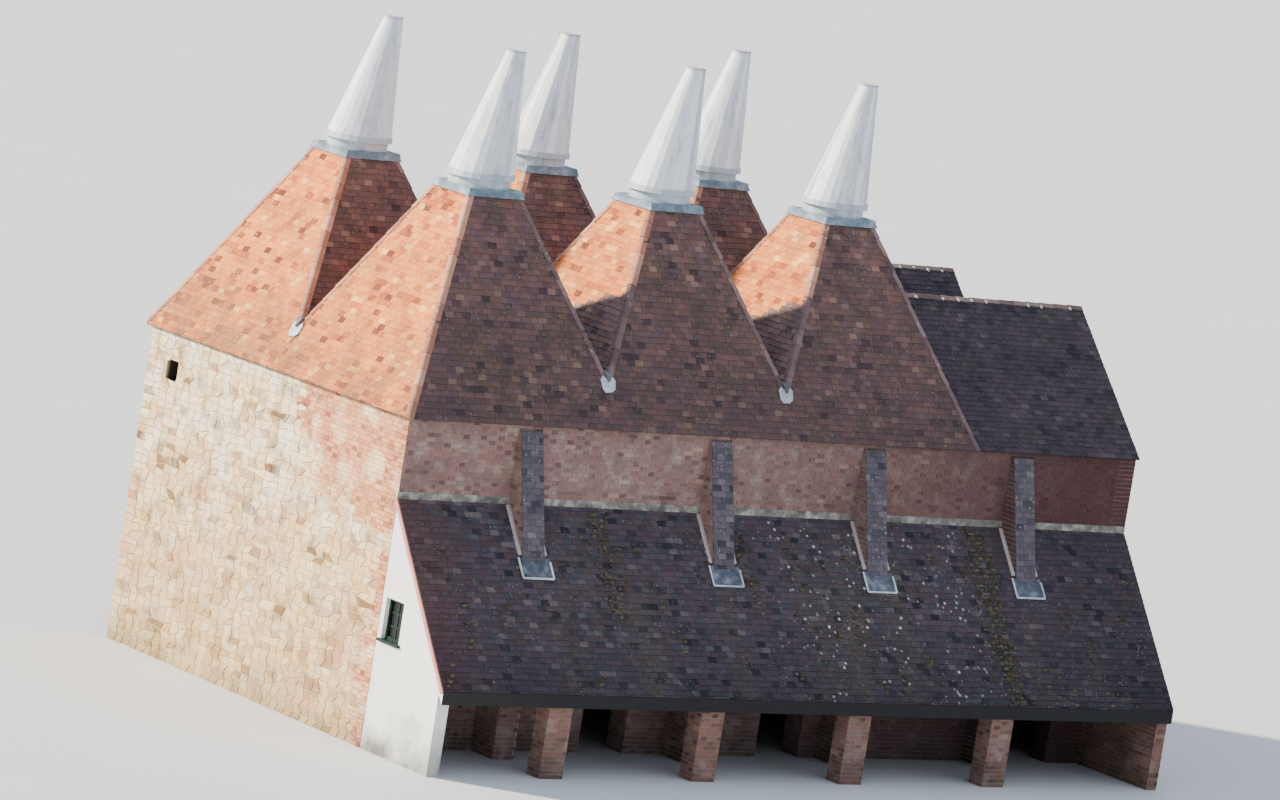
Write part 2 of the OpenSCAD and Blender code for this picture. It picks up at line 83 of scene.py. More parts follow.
# Hip and ridge tiles
CREST_LENGTH = 0.30
CREST_LAP = 0.04
CREST_ROUND = 0.045
CREST_LIFT = 0.036
CREST_WING = 0.06
CREST_THICK = 0.014
CREST_TURN = 0.01
CREST_LOOSE = 0.006
# Flat steps of the rounded top, and how much narrower and lower the lapped end is
CREST_STEPS = 4
CREST_TAPER = 0.94
CREST_DIP = 0.012

# Bricks in Flemish bond: size, how far they stand out, and how deep they reach into the wall
BRICK_LENGTH = 0.215
BRICK_HEADER = 0.1025
BRICK_HEIGHT = 0.065
JOINT = 0.010
BRICK_PROUD = 0.007
BRICK_UNEVEN = 0.002
BRICK_BED = 0.004
SHORTEST_BRICK = 0.035
LIMEWASHED = {"proud": 0.0015, "uneven": 0.0008}
WARM_BRICK_PROUD = 0.012

# Rubble stones
STONE_WIDTH = 0.225
STONE_HEIGHT = 0.125
STONE_JOINT = 0.007
STONE_ROUNDING = 0.008
STONE_PROUD = (0.008, 0.018)
# Shift of every other row, and how far corners stray along a row and across it, in stones
STONE_BOND = 0.36
STONE_STRAY = 0.2
STONE_SLANT = 0.26
# Share of the joints between two stones that are left out for a longer stone
STONES_JOINED = 0.1

# Cowls
COWL_BOARDS = 24
MOUTH_BOARDS = 6
MOUTH_LOW = 0.26
MOUTH_BELOW_TOP = 0.18
COWL_BOARD_THICK = 0.030
COWL_BOARD_GAP = 0.0025
FOOT_BAND_THICK = 0.018
FOOT_BAND_HEIGHT = 0.09
CAP_THICK = 0.026
CAP_LIP = 0.014
HOOP_SHARES = (0.34, 0.60, 0.84)
HOOP_WIDTH = 0.05
HOOP_THICK = 0.03
ARM_WIDTH = 0.07
LOWER_ARM = 0.09
UPPER_ARM = 0.75
HUB_RADIUS = 0.12
HUB_HEIGHT = 0.11
HUB_SIDES = 24
# How far the arms keep from the boards, and how much narrower the cap is at its top
ARM_GAP = 0.002
CAP_DRAFT = 0.003
# Gap between cowl pieces that touch
SEAM = 0.0005

# Doorways, and how far left of a kiln's middle or of the range's end those in the front stand
DOOR_WIDTH = 0.9
DOOR_SPRING = 1.9
DOOR_RISE = 0.14
DOOR_SHIFT = 1.0
ARCH_BRICK_DEPTH = 0.016
# Share of the arch's rise up to which the bricks beside it are left out
ARCH_CUT = 0.6

# The vent in the left wall
VENT_FROM_REAR = 0.76
VENT_BELOW_EAVES = 0.62
VENT_HALF = 0.175

# The part of the left wall that was built up again in brick, and the toothed brick corner below it
REBUILT_LENGTH = 3.45
REBUILT_NARROWING = 0.72
REBUILT_DEPTH = 1.75
CORNER_WIDTH = 0.34
CORNER_TOOTH = 0.1
CORNER_STEP = 0.3
# How far the stones keep back from the rebuilt part
STONES_BACK = 0.14

UP = Vector((0, 0, 1))
FRONT, RIGHT = Vector((0, -1, 0)), Vector((1, 0, 0))
REAR, LEFT = -FRONT, -RIGHT

# Where the light comes from, and how much a slope has to face it to get the sunlit tiles rather than those
# with painted shade
SUN_FROM = Vector((-0.678, 0.590, 0.438))
SUN_FACING = 0.1
# From how far over a tile the sun is looked for, and how ragged up the slope the shade's edge is
SHADE_LIFT = 0.06
SHADE_RAGGED = 0.07


def middle_of(node):
    low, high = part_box(node)
    return (low + high) / 2


ROOF_LOW, ROOF_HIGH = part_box("kiln_roof_1")
EAVES, ROOF_TOP = ROOF_LOW.z, ROOF_HIGH.z
ROOF_TOP_HALF = 0.46
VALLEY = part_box("dividing_walls")[1].z
KILN_MIDDLES = [middle_of(f"spindle_{number}") for number in KILNS]
# The outer faces of the four walls
HOUSE_LOW, FRONT_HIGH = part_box("front_wall")
HOUSE_HIGH = Vector((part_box("range_end_wall")[1].x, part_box("rear_wall")[1].y, FRONT_HIGH.z))


# Finishes

NOISE_ROUGHNESS = 0.55


def paint(colour):
    """A colour given as 0 to 255, made linear."""
    shares = (value / 255 for value in colour)
    return (*(s / 12.92 if s <= 0.04045 else ((s + 0.055) / 1.055) ** 2.4 for s in shares), 1.0)


class Finish:
    """A material in the making: its nodes, its shader and its colour so far."""

    def __init__(self, name, roughness, specular, metallic=0.0):
        self.material = bpy.data.materials.new(name)
        self.material.use_nodes = True
        self.tree = self.material.node_tree
        self.shader = self.tree.nodes["Principled BSDF"]
        self.feed(self.shader, {"Roughness": roughness, "Specular IOR Level": specular,
                                "Metallic": metallic})
        self.place = self.node("TexCoord").outputs["Object"]
        self.colour = None

    def feed(self, node, inputs):
        """Links sockets to a node's inputs, and sets the plain values on them."""
        for key, value in inputs.items():
            if isinstance(value, bpy.types.NodeSocket):
                self.tree.links.new(value, node.inputs[key])
            else:
                node.inputs[key].default_value = value

    def node(self, kind, inputs=None, **settings):
        node = self.tree.nodes.new("ShaderNode" + kind)
        for key, value in settings.items():
            setattr(node, key, value)
        self.feed(node, inputs or {})
        return node

    def math(self, operation, *values):
        return self.node("Math", dict(enumerate(values)), operation=operation).outputs[0]

    def both(self, first, second):
        return self.math("MULTIPLY", first, second)

    def sum(self, first, second, share):
        """The first value with a share of the second's swing about one half added."""
        return self.math("MULTIPLY_ADD", second, share, self.math("SUBTRACT", first, share / 2))

    def tone(self):
        """The tone that each tile, brick, stone or board carries."""
        return self.node("Attribute", attribute_name="tone").outputs["Fac"]

    def noise(self, scale, detail=3.0, stretch=None):
        """Clouds, stretched along the object's axes where a stretch is given."""
        place = self.place
        if stretch:
            place = self.node("Mapping", {"Vector": place, "Scale": stretch}).outputs[0]
        return self.node("TexNoise", {"Vector": place, "Scale": scale, "Detail": detail,
                                      "Roughness": NOISE_ROUGHNESS}).outputs["Fac"]

    def range(self, value, low, high, share=1.0, least=0.0):
        """The value spread from low..high to least..share, and held there."""
        return self.node("MapRange", {"Value": value, "From Min": low, "From Max": high,
                                      "To Min": least, "To Max": share}).outputs["Result"]

    def clouds(self, scale, detail, low, high, share=1.0):
        return self.range(self.noise(scale, detail), low, high, share)

    def along(self, axis):
        """Distance from the ground or from the building's middle along an axis."""
        return self.node("SeparateXYZ", {0: self.place}).outputs[axis]

    def fade(self, axis, *limits):
        """An amount that grows from one place along an axis to another."""
        return self.range(self.along(axis), *limits)

    def spots(self, scale, rim, core, *clouds):
        """Small round spots that stand together in clouds."""
        cells = self.node("TexVoronoi", {"Vector": self.place, "Scale": scale}).outputs["Distance"]
        return self.both(self.range(cells, rim, core), self.clouds(*clouds))

    def mottled(self, patches, patch_share, blotches, share):
        """Each piece's tone with large and small clouds added."""
        return self.sum(self.sum(self.tone(), patches, patch_share), blotches, share)

    def ramp(self, value, colours, first=0.0, last=1.0):
        """The first colours, one after the other as the value grows."""
        node = self.node("ValToRGB", {"Fac": value})
        elements = node.color_ramp.elements
        while len(elements) < len(colours):
            elements.new(0.5)
        for k, (element, colour) in enumerate(zip(elements, colours)):
            element.position = first + (last - first) * k / (len(colours) - 1)
            element.color = paint(colour)
        self.colour = node.outputs["Color"]

    def over(self, colour, *amounts):
        """Lays a colour over what is there where all the amounts say."""
        self.colour = self.node("Mix", {0: reduce(self.both, amounts), 6: self.colour, 7: paint(colour)},
                                data_type="RGBA").outputs[2]

    def damp_foot(self, colour, share):
        """A stain that rises from the ground."""
        self.over(colour, self.range(self.sum(self.along("Z"), self.noise(1.7, 5.0), 1.6),
                                     0.75, -0.15, share))

    def done(self, *reliefs):
        """The finished material, with relief given by value, strength and depth."""
        normal = {}
        for value, strength, depth in reliefs:
            bump = self.node("Bump", {"Height": value, "Strength": strength, "Distance": depth, **normal})
            normal = {"Normal": bump.outputs["Normal"]}
        self.feed(self.shader, {"Base Color": self.colour, **normal})
        return self.material


def clay(name, colours, soot, soot_share, lichen, lichen_share, moss_share=0.0, brown_foot=0.0,
         dark_foot=0.0):
    """Fired clay, each tile with its own tone, sooty in patches, with lichen and moss."""
    f = Finish(name, 0.88, 0.25)
    blotches = f.noise(11.0, 4.0)
    f.ramp(f.mottled(f.noise(0.7, 4.0), 0.35, blotches, 0.35), colours)
    f.over(soot, f.clouds(1.9, 6.0, 0.42, 0.75, soot_share))
    if brown_foot:
        f.over((140, 100, 72), f.fade("Z", 6.9, 5.5), f.clouds(1.3, 6.0, 0.34, 0.60, brown_foot))
    if dark_foot:
        f.over((54, 48, 58), f.fade("Z", 8.6, 5.4, dark_foot))
    if moss_share:
        f.over((62, 66, 36), f.clouds(1.3, 7.0, 0.46, 0.62, moss_share), f.clouds(16.0, 3.0, 0.40, 0.55))
    f.over(lichen, f.spots(13.0, 0.26, 0.12, 2.6, 3.0, 0.44, 0.66, lichen_share))
    return f.done((blotches, 0.5, 0.006), (f.noise(90.0), 0.5, 0.002))


def mossy_clay():
    """Dark damp tiles, reddish at the left end, with moss in streaks and patches of white lichen."""
    f = Finish("mossy_tile", 0.92, 0.2)
    blotches = f.noise(11.0, 4.0)
    f.ramp(f.mottled(f.noise(0.7, 4.0), 0.6, blotches, 0.35),
           ((40, 38, 46), (62, 58, 64), (84, 72, 78), (76, 60, 62), (66, 66, 74), (104, 92, 92)))
    f.over((92, 56, 58), f.fade("X", -6.3, -7.4, 0.55))
    f.over((40, 36, 40), f.fade("X", 3.0, 7.4, 0.4))
    f.over((34, 34, 40), f.fade("Z", 2.6, 1.4, 0.4))
    streaks = f.range(f.noise(1.0, 4.0, (1.4, 0.16, 0.16)), 0.55, 0.70, 0.55)
    f.over((88, 82, 62), streaks, f.clouds(15.0, 3.0, 0.36, 0.56))
    f.over((212, 212, 206), f.spots(7.5, 0.25, 0.14, 2.2, 3.0, 0.46, 0.60), f.fade("X", -1.0, 0.6),
           f.fade("X", 4.2, 2.8))
    f.over((176, 172, 166), f.spots(15.0, 0.22, 0.10, 3.0, 3.0, 0.50, 0.66, 0.6))
    return f.done((blotches, 0.5, 0.006), (f.noise(90.0), 0.5, 0.002))


def brickwork(name, colours, lime_share, dark_right=0.0, lime=(178, 164, 146), lime_scale=3.4):
    """Stock bricks, each with its own tone, and smears of lime."""
    f = Finish(name, 0.9, 0.2)
    blotches = f.noise(14.0, 4.0)
    f.ramp(f.mottled(f.noise(0.8), 0.3, blotches, 0.3), colours)
    f.over(lime, f.clouds(lime_scale, 5.0, 0.50, 0.66, lime_share))
    f.over((58, 50, 46), f.clouds(1.1, 5.0, 0.55, 0.8, 0.5))
    if dark_right:
        f.over((74, 44, 46), f.fade("X", -1.2, 6.2, dark_right))
    f.damp_foot((54, 52, 42), 0.6)
    return f.done((blotches, 0.6, 0.006), (f.noise(120.0, 2.0), 0.4, 0.002))


def plain_brickwork():
    """Plain walls whose bricks don't stand proud, coursed by a pattern in two directions."""
    f = Finish("plain_brick", 0.92, 0.2)
    across = f.math("ADD", f.along("X"), f.along("Y"))
    f.colour = f.node("TexBrick", {
        "Vector": f.node("CombineXYZ", {"X": across, "Y": f.along("Z")}).outputs[0],
        "Scale": 1.0, "Mortar Size": JOINT / 2, "Mortar Smooth": 0.3, "Bias": 0.0,
        "Brick Width": BRICK_LENGTH + JOINT, "Row Height": BRICK_HEIGHT + JOINT,
        "Color1": paint((118, 84, 74)), "Color2": paint((158, 116, 98)),
        "Mortar": paint((160, 148, 130))}).outputs["Color"]
    f.over((70, 58, 54), f.clouds(1.4, 6.0, 0.45, 0.75, 0.6))
    f.over((176, 160, 142), f.clouds(2.7, 6.0, 0.55, 0.75, 0.35))
    f.damp_foot((54, 52, 42), 0.6)
    return f.done((f.noise(16.0, 4.0), 0.5, 0.006))


def mortar(name, light, dark, *darkening):
    """Lime mortar, made darker from one place along the building to another where a darkening is given."""
    f = Finish(name, 0.95, 0.15)
    f.ramp(f.noise(2.3, 6.0), (dark, light))
    if darkening:
        f.over(darkening[0], f.fade("X", *darkening[1:]))
    return f.done((f.noise(70.0), 0.6, 0.003))


def rubble_stone():
    """Cream rubble, pinkish and darker towards the ground, washed pale towards the eaves."""
    f = Finish("cream_stone", 0.92, 0.2)
    grain = f.noise(26.0, 5.0)
    f.ramp(f.mottled(f.noise(0.5), 0.3, grain, 0.3),
           ((118, 88, 58), (196, 156, 104), (240, 210, 150), (222, 182, 138), (250, 230, 184),
            (180, 132, 92), (214, 202, 174)))
    f.over((206, 144, 108), f.clouds(0.9, 5.0, 0.46, 0.62), f.fade("Z", 4.6, 3.0, 0.6))
    f.over((246, 242, 222), f.clouds(1.6, 6.0, 0.44, 0.60), f.fade("Z", 2.2, 4.0, 0.65, 0.25))
    f.over((104, 88, 64), f.clouds(2.3, 6.0, 0.53, 0.68, 0.7))
    f.over((190, 148, 98), f.fade("Z", 3.6, 0.8, 0.35))
    f.damp_foot((112, 104, 78), 0.6)
    return f.done((grain, 1.0, 0.016), (f.noise(110.0, 2.0), 0.4, 0.003))


def sheet_lead(name, colours, dirt_share, bloom_scale=2.0):
    f = Finish(name, 0.65, 0.35, 0.1)
    f.ramp(f.noise(bloom_scale, 5.0), colours, 0.25, 0.75)
    f.over((92, 92, 90), f.clouds(9.0, 4.0, 0.58, 0.8, dirt_share))
    return f.done((f.noise(5.0), 0.5, 0.012))


def boards(name, colours, grain_axis, dirt, dirt_share, roughness=0.75, left_end=None):
    """Boards with grain along one axis, dirt in streaks, and paint on their left end."""
    f = Finish(name, roughness, 0.3)
    stretch = [38.0, 38.0, 38.0]
    stretch[grain_axis] = 1.6
    grain = f.noise(1.0, 5.0, stretch)
    f.ramp(f.sum(f.tone(), grain, 0.5), colours)
    f.over(dirt, f.range(f.noise(1.0, 5.0, (7.0, 7.0, 0.7)), 0.50, 0.75, dirt_share))
    if left_end:
        f.over(left_end, f.fade("X", HOUSE_LOW.x + 0.0025, HOUSE_LOW.x + 0.001))
    return f.done((grain, 0.5, 0.004))


def limewash():
    f = Finish("limewash", 0.9, 0.2)
    f.ramp(f.noise(4.0, 5.0), ((228, 227, 222), (242, 242, 238)))
    f.over((168, 162, 140), f.clouds(1.5, 6.0, 0.58, 0.82, 0.5))
    f.damp_foot((74, 72, 60), 0.85)
    return f.done((f.noise(9.0, 4.0), 0.4, 0.006))


def cushion_moss():
    f = Finish("cushion_moss", 1.0, 0.1)
    f.ramp(f.sum(f.tone(), f.noise(30.0), 0.6), ((60, 56, 46), (82, 76, 60), (104, 96, 76)))
    return f.done((f.noise(160.0), 0.9, 0.006))


def even_coat(name, roughness, specular, cloud, colours, *relief):
    """A coat that varies only a little, such as gloss paint or old glass."""
    f = Finish(name, roughness, specular)
    f.ramp(f.noise(*cloud), colours)
    return f.done(*((f.noise(*wave), strength, depth) for wave, strength, depth in relief))


# Lit and shaded copies of one clay. The warm tiles are the sunlit ones, laid where the sun falls on a slope.
# The brown-grey ones carry a painted shadow where another roof shades the slope, and the dark ones carry
# painted shade on the slopes that face away from the sun. Their soot, moss and lichen are real.
SUNLIT_TILES = clay(
    "sunlit_kiln_tile", ((118, 58, 38), (212, 112, 58), (240, 150, 80), (216, 124, 70), (252, 192, 116)),
    (126, 76, 50), 0.5, (240, 216, 124), 0.6, brown_foot=0.75)
SHADED_TILES = clay(
    "shaded_kiln_tile", ((68, 51, 55), (105, 75, 73), (130, 92, 83), (100, 79, 71), (111, 83, 86),
                       (152, 117, 100)), (56, 49, 53), 0.5, (149, 141, 115), 0.55, 0.3, dark_foot=0.42)
SHADOWED_TILES = clay(
    "shadowed_kiln_tile", ((84, 68, 72), (122, 96, 94), (150, 116, 106), (120, 100, 94), (130, 106, 110),
                       (172, 138, 122)), (76, 68, 72), 0.5, (166, 158, 132), 0.55, 0.3, dark_foot=0.2)
RANGE_TILES = clay(
    "range_tile", ((45, 39, 47), (64, 55, 62), (79, 64, 70), (60, 55, 60), (90, 77, 79)),
    (39, 38, 45), 0.55, (128, 124, 113), 0.45, 0.2)
BUTTRESS_TILES = clay(
    "buttress_tile", ((62, 58, 66), (88, 82, 90), (106, 96, 102), (84, 80, 84), (124, 114, 118)),
    (56, 54, 62), 0.5, (182, 178, 166), 0.7, 0.2)
MOSSY_TILES = mossy_clay()
# Hip tiles come in a warm sunlit copy and a grey-pink copy with painted shade, picked by the same sun test
# as the tiles
SUNLIT_RIDGE = clay("sunlit_ridge", ((150, 98, 78), (186, 130, 104), (206, 156, 128)),
                  (104, 80, 70), 0.5, (222, 214, 192), 0.7)
SHADED_RIDGE = clay("shaded_ridge", ((92, 74, 74), (122, 98, 96), (148, 122, 118)),
                  (62, 54, 56), 0.5, (186, 180, 166), 0.7)
PALE_RIDGE = clay("pale_ridge", ((104, 82, 80), (142, 116, 110), (176, 150, 140)),
                  (70, 60, 64), 0.7, (206, 198, 184), 0.9)
BRICK = brickwork("stock_brick", ((104, 74, 66), (138, 98, 86), (152, 110, 96), (130, 100, 90),
                                  (172, 132, 112)), 0.3)
FRONT_BRICK = brickwork("front_brick", ((107, 80, 78), (136, 102, 96), (149, 113, 106), (129, 102, 98),
                                        (166, 131, 120)), 0.45, 0.9)
WARM_BRICK = brickwork("warm_brick", ((160, 92, 68), (206, 134, 98), (224, 156, 112), (190, 126, 100),
                                      (232, 182, 132)), 0.85, lime=(238, 216, 174), lime_scale=2.1)
PLAIN_BRICK = plain_brickwork()
MORTAR = mortar("lime_mortar", (186, 174, 154), (132, 122, 108))
FRONT_MORTAR = mortar("front_mortar", (176, 160, 146), (126, 112, 102), (84, 58, 56), -1.2, 6.2, 0.85)
VERGE_MORTAR = mortar("verge_mortar", (226, 160, 146), (176, 112, 100))
FILLET_MORTAR = mortar("fillet_mortar", (208, 196, 190), (136, 122, 118))
PALE_MORTAR = mortar("pale_mortar", (226, 218, 206), (178, 168, 156))
# Painted shade in the vent: the mortar darkens from 12 mm into the wall's thickness and is nearly black past
# 72 mm, over the vent's reveals and the wall's inner faces
STONE_MORTAR = mortar("stone_mortar", (222, 202, 162), (172, 150, 112), (34, 31, 29),
                      HOUSE_LOW.x + 0.0125, HOUSE_LOW.x + 0.0725, 0.95)
STONE = rubble_stone()
CRUSTED_LEAD = sheet_lead("crusted_lead", ((66, 64, 62), (124, 121, 112), (194, 190, 176)), 0.85, 7.0)
COLLAR_LEAD = sheet_lead("collar_lead", ((78, 98, 112), (112, 130, 142), (164, 176, 182)), 0.5, 5.0)
APRON_LEAD = sheet_lead("apron_lead", ((52, 56, 68), (84, 90, 102), (146, 152, 160)), 0.6, 6.0)
LEAD = sheet_lead("dull_lead", ((80, 78, 82), (108, 105, 107), (146, 142, 140)), 0.7)
PALE_LEAD = sheet_lead("bloomed_lead", ((140, 144, 150), (196, 200, 204), (232, 232, 232)), 0.7)
WHITE = boards("white_boards", ((176, 184, 192), (236, 238, 238), (250, 250, 249)), 2,
               (132, 142, 150), 0.5, 0.5)
CURB_PAINT = boards("curb_paint", ((186, 198, 204), (214, 221, 224), (230, 234, 235)), 2,
                    (108, 118, 124), 0.6, 0.6)
EAVES_BOARDS = boards("dark_eaves_boards", ((38, 35, 36), (56, 51, 50), (76, 69, 66)), 0,
                      (40, 44, 36), 0.5, left_end=(236, 235, 230))
OAK = boards("rough_oak", ((62, 50, 40), (96, 78, 62), (122, 102, 84)), 0, (52, 46, 42), 0.5)
LIMEWASH = limewash()
MOSS = cushion_moss()
GREEN = even_coat("green_paint", 0.5, 0.3, (24.0, 4.0), ((2, 30, 19), (8, 50, 33)),
                  ((60.0, 2.0), 0.3, 0.001))
# The glass is opaque and nearly black: painted shade of the unlit room behind the pane
GLASS = even_coat("window_glass", 0.22, 0.35, (4.0, 3.0), ((6, 9, 9), (18, 22, 21)),
                  ((3.0, 2.0), 0.2, 0.004))
FLOOR = even_coat("pale_floor", 0.95, 0.1, (0.2, 2.0), ((214, 213, 210), (220, 219, 216)))


# Pieces

def make_piece(name, slot, bm, *finishes, body="building", stands_for=(), in_box=False):
    """Turns a bmesh into a named piece that moves with a body, cut to the outer box if asked."""
    if in_box:
        keep_in_box(bm)
    mesh = bpy.data.meshes.new(name)
    bm.to_mesh(mesh)
    bm.free()
    for finish in finishes:
        mesh.materials.append(finish)
    obj = bpy.data.objects.new(name, mesh)
    bpy.context.scene.collection.objects.link(obj)
    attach(obj, body)
    if stands_for:
        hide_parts(*stands_for)


def set_finish(node, finish):
    """Gives a CAD piece's own slots a finish."""
    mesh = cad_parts[node].data
    if not mesh.materials:
        mesh.materials.append(finish)
    for k in range(len(mesh.materials)):
        mesh.materials[k] = finish


def join(parts):
    """All the given bmeshes in one."""
    whole = bmesh.new()
    for bm in parts:
        mesh = bpy.data.meshes.new("part")
        bm.to_mesh(mesh)
        bm.free()
        whole.from_mesh(mesh)
        bpy.data.meshes.remove(mesh)
    return whole


def axes(*columns):
    """A turn matrix from its three directions."""
    return np.array([list(column) for column in columns]).T


def placing(spot, *directions):
    """The matrix that takes a shape to a spot, with its axes along three directions."""
    return Matrix.Translation(spot) @ Matrix(axes(*directions).tolist()).to_4x4()


def slope_axes(out):
    """The level direction along a slope and the direction up it."""
    along = Vector((-out.y, out.x, 0)).normalized()
    return along, out.cross(along)


def add_block(bm, size, place):
    """A block of the given size, put in its place."""
    made = bmesh.ops.create_cube(bm, size=1.0)["verts"]
    bmesh.ops.scale(bm, vec=size, verts=made)
    bmesh.ops.transform(bm, matrix=place, verts=made)


def add_bar(bm, start, end, out, width, height):
    """A straight bar from one point to another, standing on a slope."""
    along = (end - start).normalized()
    add_block(bm, ((end - start).length, width, height),
              placing((start + end) / 2, along, out.cross(along), out))


def round_off(bm, edges, offset, **more):
    bmesh.ops.bevel(bm, geom=edges, offset=offset, segments=2, profile=0.5, affect="EDGES",
                    material=-1, **more)


def skin(bm, rings, closed=False):
    """Faces from each ring of four corners to the next."""
    for here, after in zip(rings, rings[1:] + (rings[:1] if closed else [])):
        for k in range(4):
            bm.faces.new((here[k], here[(k + 1) % 4], after[(k + 1) % 4], after[k]))


def cut_away(bm, point, away):
    """Cuts off what lies past a plane and closes the cut pieces."""
    point, away = Vector(point), Vector(away)
    if not any((vert.co - point).dot(away) > 1e-5 for vert in bm.verts):
        return
    cut = bmesh.ops.bisect_plane(
        bm, geom=bm.verts[:] + bm.edges[:] + bm.faces[:], dist=1e-6, plane_co=point, plane_no=away,
        clear_outer=True, clear_inner=False)
    edges = [item for item in cut["geom_cut"] if isinstance(item, bmesh.types.BMEdge)]
    if edges:
        bmesh.ops.holes_fill(bm, edges=edges, sides=0)


def keep_in_box(bm, slack=0.0005):
    """Cuts off what stands past the building's own outer box."""
    low, high = cad_box
    for axis in range(3):
        away = Vector((0, 0, 0))
        away[axis] = 1
        cut_away(bm, high - away * slack, away)
        cut_away(bm, low + away * slack, -away)


# Small shapes that are laid many times

def pattern_of(bm):
    """Corners and faces of a small mesh."""
    bm.verts.index_update()
    corners = np.array([vert.co[:] for vert in bm.verts])
    faces = [[vert.index for vert in face.verts] for face in bm.faces]
    bm.free()
    return corners, faces


def block_pattern(width, length, thick, tail_lift=0.0, head_lift=0.0):
    """A block from its tail along +Y, standing on z = 0 or lifted there at its tail and head."""
    bm = bmesh.new()
    add_block(bm, (width, length, thick), Matrix.Translation((0, length / 2, thick / 2)))
    for vert in bm.verts:
        share = vert.co.y / length
        vert.co.z += tail_lift * (1 - share) + head_lift * share
    return pattern_of(bm)


def lump_pattern():
    bm = bmesh.new()
    bmesh.ops.create_icosphere(bm, subdivisions=1, radius=1.0)
    return pattern_of(bm)


TILE = block_pattern(TILE_WIDTH - TILE_GAP, TILE_LENGTH, TILE_THICK, TILE_TAIL_LIFT, TILE_HEAD_LIFT)
UNIT_BLOCK = block_pattern(1, 1, 1)
LUMP = lump_pattern()


def lay(pattern, copies, kinds=None, rounded=False):
    """One bmesh with the pattern at every copy's turn and spot, with its tone and kind of finish."""
    corners, faces = pattern
    turns, spots, tones = zip(*copies)
    points = np.einsum("nij,kj->nki", np.array(turns), corners) + np.array(spots)[:, None, :]
    size = len(corners)
    mesh = bpy.data.meshes.new("laid")
    mesh.from_pydata(points.reshape(-1, 3), [], [[size * copy + k for k in face]
                                                 for copy in range(len(copies)) for face in faces],
                     shade_flat=not rounded)
    if kinds:
        mesh.polygons.foreach_set("material_index", np.repeat(np.array(kinds, np.int32), len(faces)))
    tone = mesh.attributes.new("tone", "FLOAT", "POINT")
    tone.data.foreach_set("value", np.repeat(np.array(tones, np.float32), size))
    bm = bmesh.new()
    bm.from_mesh(mesh)
    bpy.data.meshes.remove(mesh)
    return bm


def about(dice, swing):
    return dice.uniform(-swing, swing)


def uneven_tone(dice, middle, swing):
    return min(1, max(0, dice.gauss(middle, swing)))


def tilted(turn, dice, most_yaw):
    """A tile's turn with a little yaw and roll."""
    yaw, roll = about(dice, most_yaw), about(dice, TILE_ROLL)
    return turn @ np.array([[1, -yaw, roll], [yaw, 1, 0], [-roll, 0, 1]])


# Slopes, hips and ridges

def merged_copy(node):
    """A CAD piece's mesh with its doubles merged and its flat faces whole."""
    bm = bmesh.new()
    bm.from_mesh(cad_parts[node].data)
    bmesh.ops.remove_doubles(bm, verts=bm.verts, dist=0.0002)
    bmesh.ops.dissolve_limit(bm, angle_limit=math.radians(0.6), verts=bm.verts, edges=bm.edges)
    bm.normal_update()
    return bm


# How steep tiled faces are, the smallest of them, and the least fold and length of a hip or ridge
SLOPE_UPWARD = (0.15, 0.97)
SLOPE_AREA = 0.2
CREST_FOLD = 0.2
CREST_SHORTEST = 0.3


def is_slope(face):
    return SLOPE_UPWARD[0] < face.normal.z < SLOPE_UPWARD[1]


def slopes_of(node):
    """Corners and outward direction of each tiled slope of a CAD piece."""
    bm = merged_copy(node)
    found = [([vert.co.copy() for vert in face.verts], face.normal.copy())
             for face in bm.faces if is_slope(face) and face.calc_area() > SLOPE_AREA]
    bm.free()
    return found


def crests_of(node):
    """Low end, high end and the two outward directions of each hip and ridge of a CAD piece."""
    bm = merged_copy(node)
    found = []
    for edge in bm.edges:
        if len(edge.link_faces) == 2 and all(is_slope(face) for face in edge.link_faces):
            if edge.calc_face_angle_signed(0) > CREST_FOLD and edge.calc_length() > CREST_SHORTEST:
                low, high = sorted((vert.co.copy() for vert in edge.verts), key=lambda co: co.z)
                found.append((low, high, [face.normal.copy() for face in edge.link_faces]))
    bm.free()
    return found


def flattened(points, start, along, up):
    """Where points lie on a slope: along it and up it from its start."""
    return np.array([((point - start).dot(along), (point - start).dot(up)) for point in points])


def edge_distance(points, corners):
    """Signed distance of flat points to a flat outline: below zero inside it."""
    inside = np.zeros(len(points), bool)
    nearest = np.full(len(points), 1e9)
    x, y = points[:, 0], points[:, 1]
    for (ax, ay), (bx, by) in zip(corners, np.roll(corners, -1, axis=0)):
        dx, dy = bx - ax, by - ay
        share = np.clip(((x - ax) * dx + (y - ay) * dy) / (dx * dx + dy * dy), 0, 1)
        nearest = np.minimum(nearest, np.hypot(x - ax - share * dx, y - ay - share * dy))
        inside ^= ((ay > y) != (by > y)) & (x < ax + (y - ay) * dx / (dy if dy else 1e-9))
    return np.where(inside, -nearest, nearest)


